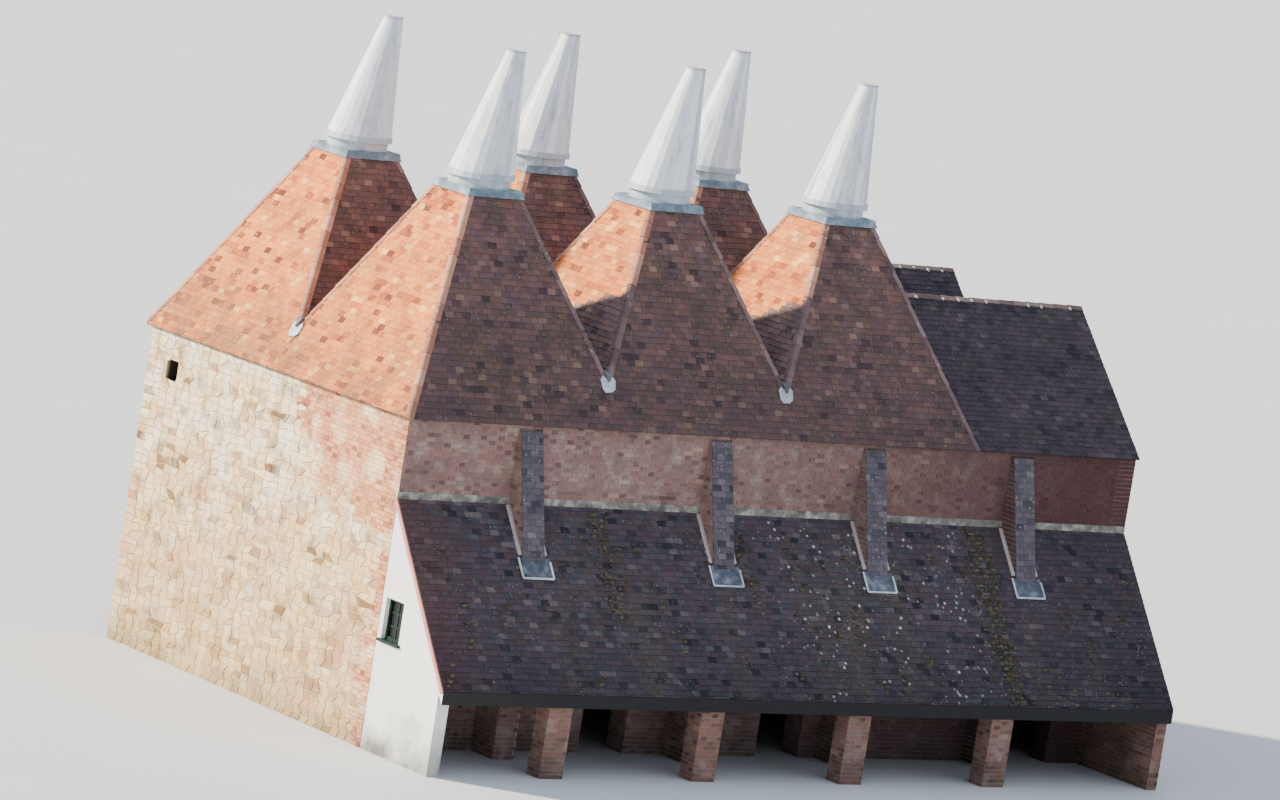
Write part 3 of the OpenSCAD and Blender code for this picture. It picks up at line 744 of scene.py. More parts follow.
def tile_slope(corners, out, dice, kind_of=None):
    """Plain tiles in half bond on one slope, in courses counted from the height of the eaves."""
    along, up = slope_axes(out)
    start = corners[0] + up * ((EAVES - corners[0].z) / up.z)
    flat = flattened(corners, start, along, up)
    (left, foot), (right, head) = flat.min(0), flat.max(0)
    spots = []
    for course in range(math.floor(foot / TILE_GAUGE) - 1, math.ceil(head / TILE_GAUGE) + 1):
        shift = TILE_WIDTH / 2 * (course % 2)
        first = math.floor((left - shift) / TILE_WIDTH) - 1
        last = math.ceil((right - shift) / TILE_WIDTH) + 1
        spots += [(shift + (k + 0.5) * TILE_WIDTH, course * TILE_GAUGE) for k in range(first, last)]
    spots = np.array(spots)
    spots = spots[edge_distance(spots + np.array([0, TILE_GAUGE / 2]), flat) < TILE_REACH]
    turn = axes(along, up, out)
    copies, kinds = [], []
    for across, rise in spots:
        lift = dice.uniform(0, TILE_LOOSE)
        spot = (start + along * (across + about(dice, TILE_STRAY)) + up * (rise + about(dice, TILE_SLIP))
                + out * lift)
        copies.append((tilted(turn, dice, TILE_TURN), spot, uneven_tone(dice, 0.5, 0.24)))
        kinds.append(kind_of(spot, [out]) if kind_of else 0)
    bm = lay(TILE, copies, kinds)
    for here, after in zip(corners, corners[1:] + corners[:1]):
        away = (after - here).cross(out).normalized()
        if all((corner - here).dot(away) < 0.002 for corner in corners):
            cut_away(bm, here, away)
    return bm


def crest_pattern(lean):
    """A hip or ridge tile over two slopes that each lean away from its middle by the given angle."""
    bm = bmesh.new()
    centre = (CREST_LIFT - CREST_ROUND) / math.cos(lean)
    turns = [-lean + 2 * lean * k / CREST_STEPS for k in range(CREST_STEPS + 1)]
    line = [(CREST_ROUND * math.sin(turn), centre + CREST_ROUND * math.cos(turn)) for turn in turns]
    reach, drop = CREST_WING * math.cos(lean), CREST_WING * math.sin(lean)
    line = [(line[0][0] - reach, line[0][1] - drop)] + line + [(line[-1][0] + reach, line[-1][1] - drop)]
    verts = [bm.verts.new((x, 0, z)) for x, z in line]
    edges = [bm.edges.new(pair) for pair in zip(verts, verts[1:])]
    grown = bmesh.ops.extrude_edge_only(bm, edges=edges)["geom"]
    far = [item for item in grown if isinstance(item, bmesh.types.BMVert)]
    bmesh.ops.scale(bm, vec=(CREST_TAPER, 1, 1), verts=far)
    bmesh.ops.translate(bm, vec=(0, CREST_LENGTH + CREST_LAP, -CREST_DIP), verts=far)
    bmesh.ops.recalc_face_normals(bm, faces=bm.faces)
    if sum(face.normal.z for face in bm.faces) > 0:
        bmesh.ops.reverse_faces(bm, faces=bm.faces)
    bmesh.ops.solidify(bm, geom=bm.faces[:], thickness=-CREST_THICK)
    bmesh.ops.recalc_face_normals(bm, faces=bm.faces)
    return pattern_of(bm)


def crest_tiles(crests, dice, kind_of=None):
    """Hip and ridge tiles along the given crests, lapped uphill."""
    parts = []
    for low, high, outs in crests:
        middle = (outs[0] + outs[1]).normalized()
        run = (high - low).normalized()
        turn = axes(run.cross(middle), run, middle)
        count = max(1, round((high - low).length / CREST_LENGTH))
        pitch = (high - low).length / count
        places = [(tilted(turn, dice, CREST_TURN),
                   low + run * pitch * k + middle * dice.uniform(0, CREST_LOOSE)) for k in range(count)]
        kinds = [kind_of(spot, outs) if kind_of else 0 for turned, spot in places]
        copies = [(*place, dice.uniform(0.1, 0.9)) for place in places]
        bm = lay(crest_pattern(middle.angle(outs[0])), copies, kinds)
        cut_away(bm, high, run)
        parts.append(bm)
    return join(parts)


# Bricks and stones

def box_side(low, high, out):
    """One side of a box: its lower left corner seen from outside, direction, width and height."""
    x = low.x if out.x < 0 or out.y < 0 else high.x
    y = low.y if out.x > 0 or out.y < 0 else high.y
    return Vector((x, y, low.z)), out, high.x - low.x if out.y else high.y - low.y, high.z - low.z


def brick_courses(width, height, holes, keep):
    """Spots of the bricks of a wall: middle across, foot height and length of each."""
    bricks = []
    course_height = BRICK_HEIGHT + JOINT
    repeat = BRICK_LENGTH + BRICK_HEADER + 2 * JOINT
    for course in range(math.ceil(height / course_height)):
        foot = course * course_height
        x = -repeat * (0.5 if course % 2 else 0.0)
        is_long = True
        while x < width:
            length = BRICK_LENGTH if is_long else BRICK_HEADER
            spans = [(max(x, 0), min(x + length, width))]
            for left, right, low, high in holes:
                if foot + BRICK_HEIGHT > low and foot < high:
                    spans = [piece for a, b in spans
                             for piece in ((a, min(b, left)), (max(a, right), b))
                             if piece[1] > piece[0]]
            bricks += [((a + b) / 2, foot, b - a) for a, b in spans
                       if b - a > SHORTEST_BRICK and (keep is None or keep((a + b) / 2, foot))]
            x += length + JOINT
            is_long = not is_long
    return bricks


def brick_face(origin, out, width, height, dice, holes=(), keep=None, proud=BRICK_PROUD,
               uneven=BRICK_UNEVEN):
    """Bricks on one wall face, standing a little proud of their mortar."""
    along = UP.cross(out)
    copies = []
    for across, foot, length in brick_courses(width, height, holes, keep):
        stand = proud + dice.uniform(-uneven, 0.75 * uneven)
        turn = axes(along, UP, out) * np.array([length, BRICK_HEIGHT, stand + BRICK_BED])
        is_header = length < BRICK_LENGTH * 0.6
        copies.append((turn, origin + along * across + UP * foot - out * BRICK_BED,
                       uneven_tone(dice, 0.32 if is_header else 0.55, 0.22)))
    return lay(UNIT_BLOCK, copies)


def brick_arch(origin, out, dice):
    """A ring of bricks on edge over a doorway with a segmental arch."""
    along = UP.cross(out)
    radius = (DOOR_WIDTH * DOOR_WIDTH / 4 + DOOR_RISE * DOOR_RISE) / (2 * DOOR_RISE)
    middle = origin + UP * (DOOR_SPRING + DOOR_RISE - radius)
    sweep = 2 * math.asin(DOOR_WIDTH / 2 / radius)
    count = round(sweep * radius / (BRICK_HEIGHT + JOINT))
    copies = []
    for k in range(count):
        turn_by = -sweep / 2 + sweep * (k + 0.5) / count
        ray = UP * math.cos(turn_by) + along * math.sin(turn_by)
        flat = along * math.cos(turn_by) - UP * math.sin(turn_by)
        turn = axes(flat, ray, out) * np.array([BRICK_HEIGHT, BRICK_LENGTH, ARCH_BRICK_DEPTH])
        copies.append((turn, middle + ray * radius - out * BRICK_BED, dice.uniform(0.4, 0.9)))
    return lay(UNIT_BLOCK, copies)


def rubble_face(origin, out, width, height, dice, holes, keep):
    """Rounded rubble stones on one wall face."""
    across, high = round(width / STONE_WIDTH), round(height / STONE_HEIGHT)
    bm = bmesh.new()
    bmesh.ops.create_grid(bm, x_segments=across, y_segments=high, size=0.5)
    rim = {vert for vert in bm.verts if abs(vert.co.x) > 0.4999 or abs(vert.co.y) > 0.4999}
    for vert in bm.verts:
        row = round((vert.co.y + 0.5) * high)
        vert.co.x = (vert.co.x + 0.5) * width
        vert.co.y = (vert.co.y + 0.5) * height
        if vert not in rim:
            vert.co.x += width / across * (about(dice, STONE_STRAY) + (STONE_BOND if row % 2 else 0.0))
            vert.co.y += height / high * about(dice, STONE_SLANT)
    joined, loose = set(), []
    for edge in bm.edges:
        if len(edge.link_faces) == 2 and dice.random() < STONES_JOINED:
            if not any(face.index in joined for face in edge.link_faces):
                joined.update(face.index for face in edge.link_faces)
                loose.append(edge)
    bmesh.ops.dissolve_edges(bm, edges=loose, use_verts=False)
    gone = []
    for face in bm.faces:
        middle = face.calc_center_median()
        in_hole = any(a < middle.x < b and c < middle.y < d for a, b, c, d in holes)
        if in_hole or not keep(middle.x, middle.y):
            gone.append(face)
    bmesh.ops.delete(bm, geom=gone, context="FACES")
    ring = bmesh.ops.inset_individual(
        bm, faces=bm.faces[:], thickness=STONE_JOINT, depth=0, use_even_offset=True)["faces"]
    bmesh.ops.delete(bm, geom=ring, context="FACES")
    tone = bm.faces.layers.float.new("tone")
    for face in bm.faces:
        face[tone] = uneven_tone(dice, 0.5, 0.25)
    fronts = []
    for face in bmesh.ops.extrude_discrete_faces(bm, faces=bm.faces[:])["faces"]:
        bmesh.ops.translate(bm, vec=(0, 0, dice.uniform(*STONE_PROUD)), verts=face.verts)
        fronts += face.edges
    round_off(bm, fronts, STONE_ROUNDING, clamp_overlap=True)
    bmesh.ops.transform(bm, matrix=placing(origin, UP.cross(out), UP, out), verts=bm.verts)
    return bm


# Kiln roofs

def kiln_roof_tree():
    """The six kiln roofs, for finding where they stand between a tile and the sun."""
    whole = join([merged_copy(f"kiln_roof_{number}") for number in KILNS])
    tree = BVHTree.FromBMesh(whole)
    whole.free()
    return tree


def lies_in_shade(tree, spot, outs, dice):
    """Whether a tile faces away from the sun or another roof keeps it in the shade; such a tile gets a
    finish with painted shade.
    """
    for out in outs:
        if out.dot(SUN_FROM) > SUN_FACING:
            start = spot + out * SHADE_LIFT + slope_axes(out)[1] * dice.gauss(0, SHADE_RAGGED)
            return tree.ray_cast(start, SUN_FROM)[0] is not None
    return True


def dress_kiln_roofs():
    """Sunlit tiles where the sun falls, tiles with a painted shadow in a neighbour's shade, and tiles with
    painted shade on the other slopes.
    """
    tree = kiln_roof_tree()
    for number in KILNS:
        node = f"kiln_roof_{number}"
        dice = random.Random(100 + number)

        # Kind 2 is the tile with a painted shadow and kind 1 the sunlit tile; slopes that face away from the
        # sun keep kind 0, the tile with painted shade
        def tile_kind(spot, outs):
            return 2 if lies_in_shade(tree, spot, outs, dice) else 1

        # Kind 0 is the hip tile with painted shade, kind 1 the sunlit one
        def hip_kind(spot, outs):
            return 0 if lies_in_shade(tree, spot, outs, dice) else 1

        tiles = join([tile_slope(corners, out, dice, tile_kind if out.dot(SUN_FROM) > SUN_FACING else None)
                      for corners, out in slopes_of(node)])
        make_piece(f"kiln_{number}_tiles", "kiln_tile", tiles, SHADED_TILES, SUNLIT_TILES, SHADOWED_TILES,
                   in_box=True)
        make_piece(f"kiln_{number}_hip_tiles", "kiln_tile", crest_tiles(crests_of(node), dice, hip_kind),
                   SHADED_RIDGE, SUNLIT_RIDGE, in_box=True)


# Cowls

def level_ring(node, z):
    """Middle and radius of the corners of a CAD piece at one height."""
    points = [vert.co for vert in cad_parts[node].data.vertices if abs(vert.co.z - z) < 0.001]
    middle = sum(points, Vector()) / len(points)
    return middle, max((point - middle).length for point in points)


class CowlForm:
    """Where the boards of one cowl stand: a cone that leans towards its opening."""

    def __init__(self, node, middle):
        low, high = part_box(node)
        self.foot = Vector((middle.x, middle.y, low.z))
        cap_middle, cap_r = level_ring(node, high.z)
        self.lean = cap_middle - self.foot
        self.tall = self.lean.z
        self.heading = math.atan2(self.lean.y, self.lean.x)
        self.foot_r = level_ring(node, low.z)[1] - FOOT_BAND_THICK
        self.top_r = cap_r - CAP_LIP

    def centre(self, z):
        return self.foot + self.lean * (z / self.tall)

    def radius(self, z):
        return self.foot_r + (self.top_r - self.foot_r) * z / self.tall

    def at(self, angle, z, inset=0.0):
        """A point on the boards' outer face, or inside it, at a height above the foot."""
        turn = self.heading + angle
        ray = Vector((math.cos(turn), math.sin(turn), 0))
        return self.centre(z) + ray * (self.radius(z) - inset)


BOARD_STEP = 2 * math.pi / COWL_BOARDS
MOUTH_HALF = MOUTH_BOARDS / 2 * BOARD_STEP


def cowl_boards(form, dice):
    """Tapered boards round a cowl, cut short above and below its opening."""
    bm = bmesh.new()
    tones = []
    top = form.tall - CAP_THICK
    gap = COWL_BOARD_GAP / 2 / form.foot_r
    for k in range(COWL_BOARDS):
        middle = (k + 0.5) * BOARD_STEP
        left, right = k * BOARD_STEP + gap, (k + 1) * BOARD_STEP - gap
        in_mouth = min(middle, 2 * math.pi - middle) < MOUTH_HALF
        for low, high in [(0, MOUTH_LOW), (form.tall - MOUTH_BELOW_TOP, top)] if in_mouth else [(0, top)]:
            corners = (form.at(left, low), form.at(right, low), form.at(right, high), form.at(left, high))
            bm.faces.new([bm.verts.new(corner) for corner in corners])
            tones.append(dice.uniform(0.1, 0.9))
    bm.normal_update()
    tone = bm.faces.layers.float.new("tone")
    for face, value in zip(bm.faces, tones):
        middle = face.calc_center_median()
        if face.normal.dot(middle - form.centre(middle.z - form.foot.z)) < 0:
            face.normal_flip()
        face[tone] = value
    bmesh.ops.solidify(bm, geom=bm.faces[:], thickness=COWL_BOARD_THICK)
    bmesh.ops.recalc_face_normals(bm, faces=bm.faces)
    return bm


def band_round(bm, form, low, high, near, far, whole=True):
    """A band round a cowl between two depths, or one that stops at the opening."""
    start, count = (0, COWL_BOARDS) if whole else (MOUTH_HALF, COWL_BOARDS - MOUTH_BOARDS + 1)
    rings = [[bm.verts.new(form.at(start + k * BOARD_STEP, z, depth))
              for z, depth in ((low, near), (high, near), (high, far), (low, far))]
             for k in range(count)]
    skin(bm, rings, closed=whole)
    if not whole:
        bm.faces.new(rings[0])
        bm.faces.new(rings[-1])
    bmesh.ops.recalc_face_normals(bm, faces=bm.faces)


def cowl_trim(form):
    """The band round the foot, the cap, and hoops inside the boards."""
    bm = bmesh.new()
    band_round(bm, form, 2 * SEAM, FOOT_BAND_HEIGHT, -FOOT_BAND_THICK, -SEAM)
    inside = COWL_BOARD_THICK + SEAM
    for share in HOOP_SHARES:
        low = form.tall * share
        band_round(bm, form, low, low + HOOP_WIDTH, inside, inside + HOOP_THICK, whole=False)
    cap_foot = form.centre(form.tall - CAP_THICK + SEAM)
    bmesh.ops.create_cone(bm, cap_ends=True, segments=COWL_BOARDS, radius1=form.top_r + CAP_LIP,
                          radius2=form.top_r + CAP_LIP - CAP_DRAFT, depth=CAP_THICK - 2 * SEAM,
                          matrix=Matrix.Translation(cap_foot + UP * (CAP_THICK / 2 - SEAM))
                          @ Matrix.Rotation(form.heading, 4, "Z"))
    return bm


def cowl_arms(form):
    """Two crosses of arms that hold the cowl on its spindle, the upper one open at the mouth."""
    bm = bmesh.new()
    for low, crosses_mouth in ((LOWER_ARM, True), (UPPER_ARM, False)):
        z = low + ARM_WIDTH / 2
        reach = form.radius(z) - COWL_BOARD_THICK - ARM_GAP
        shift = (form.centre(z) - form.foot).to_2d().length
        side = math.sqrt(reach * reach - shift * shift)
        hub = Matrix.Translation(form.foot + UP * z)
        for turn, start, end in ((0, shift - reach, shift + reach if crosses_mouth else 0),
                                 (math.pi / 2, -side, side)):
            add_block(bm, (end - start, ARM_WIDTH, ARM_WIDTH),
                      hub @ Matrix.Rotation(form.heading + turn, 4, "Z")
                      @ Matrix.Translation(((start + end) / 2, 0, 0)))
        bmesh.ops.create_cone(bm, cap_ends=True, segments=HUB_SIDES, radius1=HUB_RADIUS, radius2=HUB_RADIUS,
                              depth=HUB_HEIGHT, matrix=hub)
    return bm


def dress_cowl(number):
    """One cowl board by board, with its cap, foot band, hoops, arms and hubs."""
    node, body = f"cowl_{number}", f"turning_cowl_{number}"
    form = CowlForm(node, KILN_MIDDLES[number - 1])
    make_piece(f"{node}_boards", "white_boards", cowl_boards(form, random.Random(200 + number)), WHITE,
               body=body, stands_for=(node,))
    make_piece(f"{node}_hoops_and_cap", "white_boards", cowl_trim(form), WHITE, body=body)
    make_piece(f"{node}_arms", "oak", cowl_arms(form), OAK, body=body)


# Lead

LEAD_THICK = 0.008
# Section of the collar under a curb: distance from the kiln's middle, and height over the roof's top
COLLAR_SECTION = ((0.554, -0.07), (0.528, -0.002), (0.52, 0.051), (0.43, 0.051))
COLLAR_THICK = 0.006
# Outline of the lead at the end of a valley, along the slope and up it, and its lift over the tiles
OUTLET_OUTLINE = ((-0.08, -0.20), (0.05, -0.19), (0.12, -0.14), (0.14, 0.01), (0.10, 0.07), (0, 0.02),
                  (-0.10, 0.08), (-0.15, 0.02), (-0.13, -0.14))
SHEET_LIFT = 0.034


def lead_sheet(bm, origin, out, outline):
    """A flat sheet of lead on a slope, with the given outline along and up it."""
    along, up = slope_axes(out)
    face = bm.faces.new([bm.verts.new(origin + along * x + up * y) for x, y in outline])
    face.normal_update()
    if face.normal.dot(out) < 0:
        face.normal_flip()
    grown = bmesh.ops.extrude_face_region(bm, geom=[face])["geom"]
    bmesh.ops.translate(bm, vec=out * LEAD_THICK,
                        verts=[item for item in grown if isinstance(item, bmesh.types.BMVert)])


def curb_collars():
    bm = bmesh.new()
    for middle in KILN_MIDDLES:
        skin(bm, [[bm.verts.new((middle.x + x * half, middle.y + y * half, ROOF_TOP + z))
                   for x, y in ((-1, -1), (1, -1), (1, 1), (-1, 1))] for half, z in COLLAR_SECTION])
    bmesh.ops.recalc_face_normals(bm, faces=bm.faces)
    bmesh.ops.solidify(bm, geom=bm.faces[:], thickness=COLLAR_THICK)
    return bm


def valley_outlets():
    bm = bmesh.new()
    slope = (ROOF_TOP - EAVES) / (KILN_MIDDLES[0].x - ROOF_TOP_HALF - ROOF_LOW.x)
    between = [((KILN_MIDDLES[a] + KILN_MIDDLES[b]) / 2) for a, b in ((0, 1), (1, 2), (0, 3), (4, 5))]
    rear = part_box("kiln_roof_6")[1].y
    for x, y, side in ((between[0].x, ROOF_LOW.y, FRONT), (between[1].x, ROOF_LOW.y, FRONT),
                       (ROOF_LOW.x, between[2].y, LEFT), (between[3].x, rear, REAR)):
        out = (side * slope + UP).normalized()
        up = slope_axes(out)[1]
        spot = Vector((x, y, EAVES)) + up * ((VALLEY - EAVES) / up.z)
        lead_sheet(bm, spot + out * SHEET_LIFT, out, OUTLET_OUTLINE)
    return bm


# Walls

def doorway_bricks(origin, out, deep, dice):
    """The arch over a doorway and the bricks of its two reveals."""
    along = UP.cross(out)
    parts = [brick_arch(origin, out, dice)]
    for side in (-1, 1):
        corner = origin + along * side * DOOR_WIDTH / 2
        start = corner if side < 0 else corner - out * deep
        parts.append(brick_face(start, -along * side, deep, DOOR_SPRING, dice))
    return parts


def dress_long_wall(name, finish, out, doors, dice):
    """Brick face of the front or the rear, with doorways given by their middle and depth."""
    origin, out, width, height = box_side(HOUSE_LOW, HOUSE_HIGH, out)
    holes = [(middle - DOOR_WIDTH / 2, middle + DOOR_WIDTH / 2, 0.0, DOOR_SPRING + DOOR_RISE * ARCH_CUT)
             for middle, deep in doors]
    parts = [brick_face(origin, out, width, height, dice, holes)]
    for middle, deep in doors:
        parts += doorway_bricks(origin + UP.cross(out) * middle, out, deep, dice)
    make_piece(name, "brick", join(parts), finish)


def dress_front_and_rear(dice):
    low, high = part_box("front_wall")
    range_low, range_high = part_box("range_front_wall")
    thick = high.y - low.y
    kilns = [middle.x for middle in KILN_MIDDLES[:3]]
    front_doors = [(x - DOOR_SHIFT - low.x, thick) for x in kilns]
    front_doors.append((range_high.x - DOOR_SHIFT - low.x, range_high.y - range_low.y))
    dress_long_wall("front_brickwork", FRONT_BRICK, FRONT, front_doors, dice)
    dress_long_wall("rear_brickwork", BRICK, REAR, [(HOUSE_HIGH.x - x, thick) for x in kilns], dice)


def dress_left_wall(dice):
    side = box_side(HOUSE_LOW, HOUSE_HIGH, LEFT)
    depth, height = side[2:]

    def is_rebuilt(across, foot, more=0.0):
        """The upper front of the left wall was built up again in brick, with a ragged edge."""
        from_front = depth - across + more
        length = (REBUILT_LENGTH - (height - foot) * REBUILT_NARROWING
                  + 0.20 * math.sin(foot * 7) + 0.12 * math.sin(foot * 23))
        ragged = 0.16 * math.sin(across * 3.3) + 0.10 * math.sin(across * 9.1)
        return ((from_front < length and foot > height - REBUILT_DEPTH + ragged)
                or from_front < CORNER_WIDTH + CORNER_TOOTH * (int(foot / CORNER_STEP) % 2))

    across, up = VENT_FROM_REAR, height - VENT_BELOW_EAVES
    vent = (across - VENT_HALF, across + VENT_HALF, up - VENT_HALF, up + VENT_HALF)
    stones = rubble_face(*side, dice, [vent], lambda a, b: not is_rebuilt(a, b, STONES_BACK))
    make_piece("left_rubble", "stone", stones, STONE)
    make_piece("left_brickwork", "brick", brick_face(*side, dice, [], is_rebuilt, WARM_BRICK_PROUD),
               WARM_BRICK)


def standing_blocks(node):
    """Lowest and highest corner of each block of a CAD piece whose blocks stand in a row."""
    groups = []
    for co in sorted((vert.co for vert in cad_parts[node].data.vertices), key=lambda co: co.x):
        if not groups or co.x - groups[-1][-1].x > 1.0:
            groups.append([])
        groups[-1].append(co)
    return [[Vector([pick(co[k] for co in group) for k in range(3)]) for pick in (min, max)]
            for group in groups]


# Lead apron at a buttress's foot: its reach beside and below it, and up its sides
APRON_BESIDE, APRON_BELOW, APRON_UP = 0.09, 0.30, 0.06
APRON_GAP = 0.002
WELT_LIFT, WELT_WIDTH, WELT_HEIGHT = 0.046, 0.034, 0.022
# Mortar fillets beside a buttress: place from its side, over the slope and up from its foot
FILLET_BESIDE, FILLET_LIFT, FILLET_START, FILLET_SHORT = 0.034, 0.02, 0.11, 0.01
FILLET_WIDTH, FILLET_HEIGHT = 0.075, 0.06


def dress_buttresses(dice):
    """Bricks on three sides, lead at the foot, and mortar fillets where the lean-to roof meets them."""
    slope_corners, slope_out = slopes_of("lean_to_roof")[0]
    rake_corners, rake_out = slopes_of("buttresses")[0]
    along, up = slope_axes(slope_out)
    parts, lead, welts, fillets = [], bmesh.new(), bmesh.new(), bmesh.new()
    for low, high in standing_blocks("buttresses"):
        bricks = join([brick_face(*box_side(low, high, out), dice) for out in (LEFT, FRONT, RIGHT)])
        cut_away(bricks, rake_corners[0] + rake_out * BRICK_BED, rake_out)
        parts.append(bricks)
        middle, half = (low.x + high.x) / 2, (high.x - low.x) / 2
        level = (slope_corners[0] - Vector((middle, low.y, 0))).dot(slope_out) / slope_out.z
        foot = Vector((middle, low.y, level))
        wide, near = half + APRON_BESIDE, half + APRON_GAP
        lead_sheet(lead, foot + slope_out * SHEET_LIFT, slope_out,
                   ((-wide, -APRON_BELOW), (wide, -APRON_BELOW), (wide, APRON_UP), (near, APRON_UP),
                    (near, 0.0), (-near, 0.0), (-near, APRON_UP), (-wide, APRON_UP)))
        rim = [foot + along * x + up * y + slope_out * WELT_LIFT
               for x, y in ((-wide, APRON_UP), (-wide, -APRON_BELOW), (wide, -APRON_BELOW), (wide, 0.0))]
        for start, end in zip(rim, rim[1:]):
            add_bar(welts, start, end, slope_out, WELT_WIDTH, WELT_HEIGHT)
        run = (high.y - low.y) / up.y
        for side in (-1, 1):
            start = foot + along * side * (half + FILLET_BESIDE) + slope_out * FILLET_LIFT
            add_bar(fillets, start + up * FILLET_START, start + up * (run - FILLET_SHORT), slope_out,
                    FILLET_WIDTH, FILLET_HEIGHT)
    round_off(fillets, fillets.edges[:], 0.018)
    round_off(welts, welts.edges[:], 0.008)
    make_piece("buttress_bricks", "brick", join(parts), FRONT_BRICK)
    make_piece("buttress_aprons", "lead", lead, APRON_LEAD)
    make_piece("apron_welts", "lead", welts, PALE_LEAD)
    make_piece("buttress_fillets", "brick", fillets, FILLET_MORTAR)


# Mortar along the lean-to's left verge: shift out of the wall and into the slope, and size
VERGE_OUT, VERGE_DOWN = 0.011, 0.024
VERGE_WIDTH, VERGE_HEIGHT = 0.026, 0.078
# Depth under the lean-to tiles at which the bricks of its end walls are cut
WALL_BELOW_TILES = 0.125
# Window bars and sill: place from the window's middle as shares of its size, more place, and size
BAR_CLEARANCE = 0.06
SILL_OUT, SILL_DOWN, SILL_DEEP, SILL_EARS, SILL_HIGH = 0.075, 0.02, 0.16, 0.1, 0.045


def window_bars(low, high):
    """An upright bar, two cross bars and a sill."""
    bm = bmesh.new()
    middle, size = (low + high) / 2, high - low
    for spot, span in (((0, 0, 0), (0.03, 0.022, size.z - BAR_CLEARANCE)),
                       ((0, 0, size.z / 6), (0.026, size.y - BAR_CLEARANCE, 0.022)),
                       ((0, 0, -size.z / 6), (0.026, size.y - BAR_CLEARANCE, 0.022)),
                       ((-SILL_OUT, 0, -size.z / 2 - SILL_DOWN),
                        (SILL_DEEP, size.y + SILL_EARS, SILL_HIGH))):
        add_block(bm, span, Matrix.Translation(middle + Vector(spot)))
    return bm


def dress_lean_to(dice):
    """Piers, the white end wall with its verge and window bars, and the brick end wall."""
    piers = [brick_face(*box_side(low, high, out), dice)
             for low, high in standing_blocks("lean_to_piers") for out in (FRONT, RIGHT, REAR, LEFT)]
    make_piece("pier_bricks", "brick", join(piers), BRICK)
    low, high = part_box("lean_to_left_wall")
    window_low, window_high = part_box("lean_to_window")
    slope_corners, slope_out = slopes_of("lean_to_roof")[0]
    under = slope_corners[0] - slope_out * WALL_BELOW_TILES
    hole = (high.y - window_high.y, high.y - window_low.y, window_low.z, window_high.z)
    wall = join([brick_face(*box_side(low, high, LEFT), dice, [hole], **LIMEWASHED),
                 brick_face(*box_side(low, high, FRONT), dice, **LIMEWASHED)])
    cut_away(wall, under, slope_out)
    make_piece("limewashed_bricks", "whitewash", wall, LIMEWASH)
    foot, top = sorted((co for co in slope_corners if co.x < low.x + 0.001), key=lambda co: co.z)
    shift = LEFT * VERGE_OUT - slope_out * VERGE_DOWN
    strip = bmesh.new()
    add_bar(strip, foot + shift, top + shift, slope_out, VERGE_WIDTH, VERGE_HEIGHT)
    round_off(strip, strip.edges[:], 0.007)
    make_piece("lean_to_verge", "brick", strip, VERGE_MORTAR, in_box=True)
    right_end = brick_face(*box_side(*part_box("lean_to_right_wall"), FRONT), dice)
    cut_away(right_end, under, slope_out)
    make_piece("right_end_bricks", "brick", right_end, BRICK)
    make_piece("window_bars_and_sill", "green_paint", window_bars(window_low, window_high), GREEN)


def dress_walls():
    dice = random.Random(7)
    dress_front_and_rear(dice)
    dress_left_wall(dice)
    dress_buttresses(dice)
    dress_lean_to(dice)


# Lean-to and range

# Streaks of moss: distance from the middle, spread, lower and upper end up the slope, and cushions
MOSS_STREAKS = ((-3.7, 0.14, 0.40, 1.0, 180), (4.1, 0.14, 0.0, 1.0, 420), (-0.9, 0.10, 0.5, 0.9, 60))
SMALL_STREAKS = 60
SMALL_STREAK_LENGTH = 0.8
SMALL_STREAK_SPREAD = 0.07
SMALL_STREAK_CUSHIONS = (3, 12)
CUSHION_RADIUS = (0.014, 0.042)
# How far the moss keeps from the edges of the slope, from its ridge, and its lift over the slope
MOSS_MARGIN = 0.03
MOSS_BELOW_RIDGE = 0.05
MOSS_LIFT = 0.03
# Ridge mortar: share of the joints where it shows in front, its size, and its place down the slope
FRONT_RIDGE_SHARE = 0.45
MORTAR_LENGTH = (0.025, 0.045)
MORTAR_WIDTH = (0.03, 0.05)
MORTAR_THICK = 0.012
MORTAR_DOWN = (0.05, 0.09)
MORTAR_STRAY = 0.02


def ridge_mortar(crests, dice):
    """White bedding mortar that shows at the joints of the ridge tiles, on the rear ridge at each one."""
    copies = []
    rear_ridge = max(low.y for low, high, outs in crests)
    for low, high, outs in crests:
        share = 1.0 if low.y > rear_ridge - 0.1 else FRONT_RIDGE_SHARE
        run = (high - low).normalized()
        count = max(1, round((high - low).length / CREST_LENGTH))
        for k in range(1, count):
            for out in outs:
                fall = out.cross(run)
                if fall.z > 0:
                    fall = -fall
                size = np.array([dice.uniform(*MORTAR_LENGTH), dice.uniform(*MORTAR_WIDTH), MORTAR_THICK])
                spot = (low + (high - low) * k / count + fall * dice.uniform(*MORTAR_DOWN)
                        + out * (CREST_LIFT + 0.002) + run * about(dice, MORTAR_STRAY))
                if dice.random() < share:
                    copies.append((axes(run, out.cross(run), out) * size, spot, dice.uniform(0, 1)))
    return lay(LUMP, copies, rounded=True)


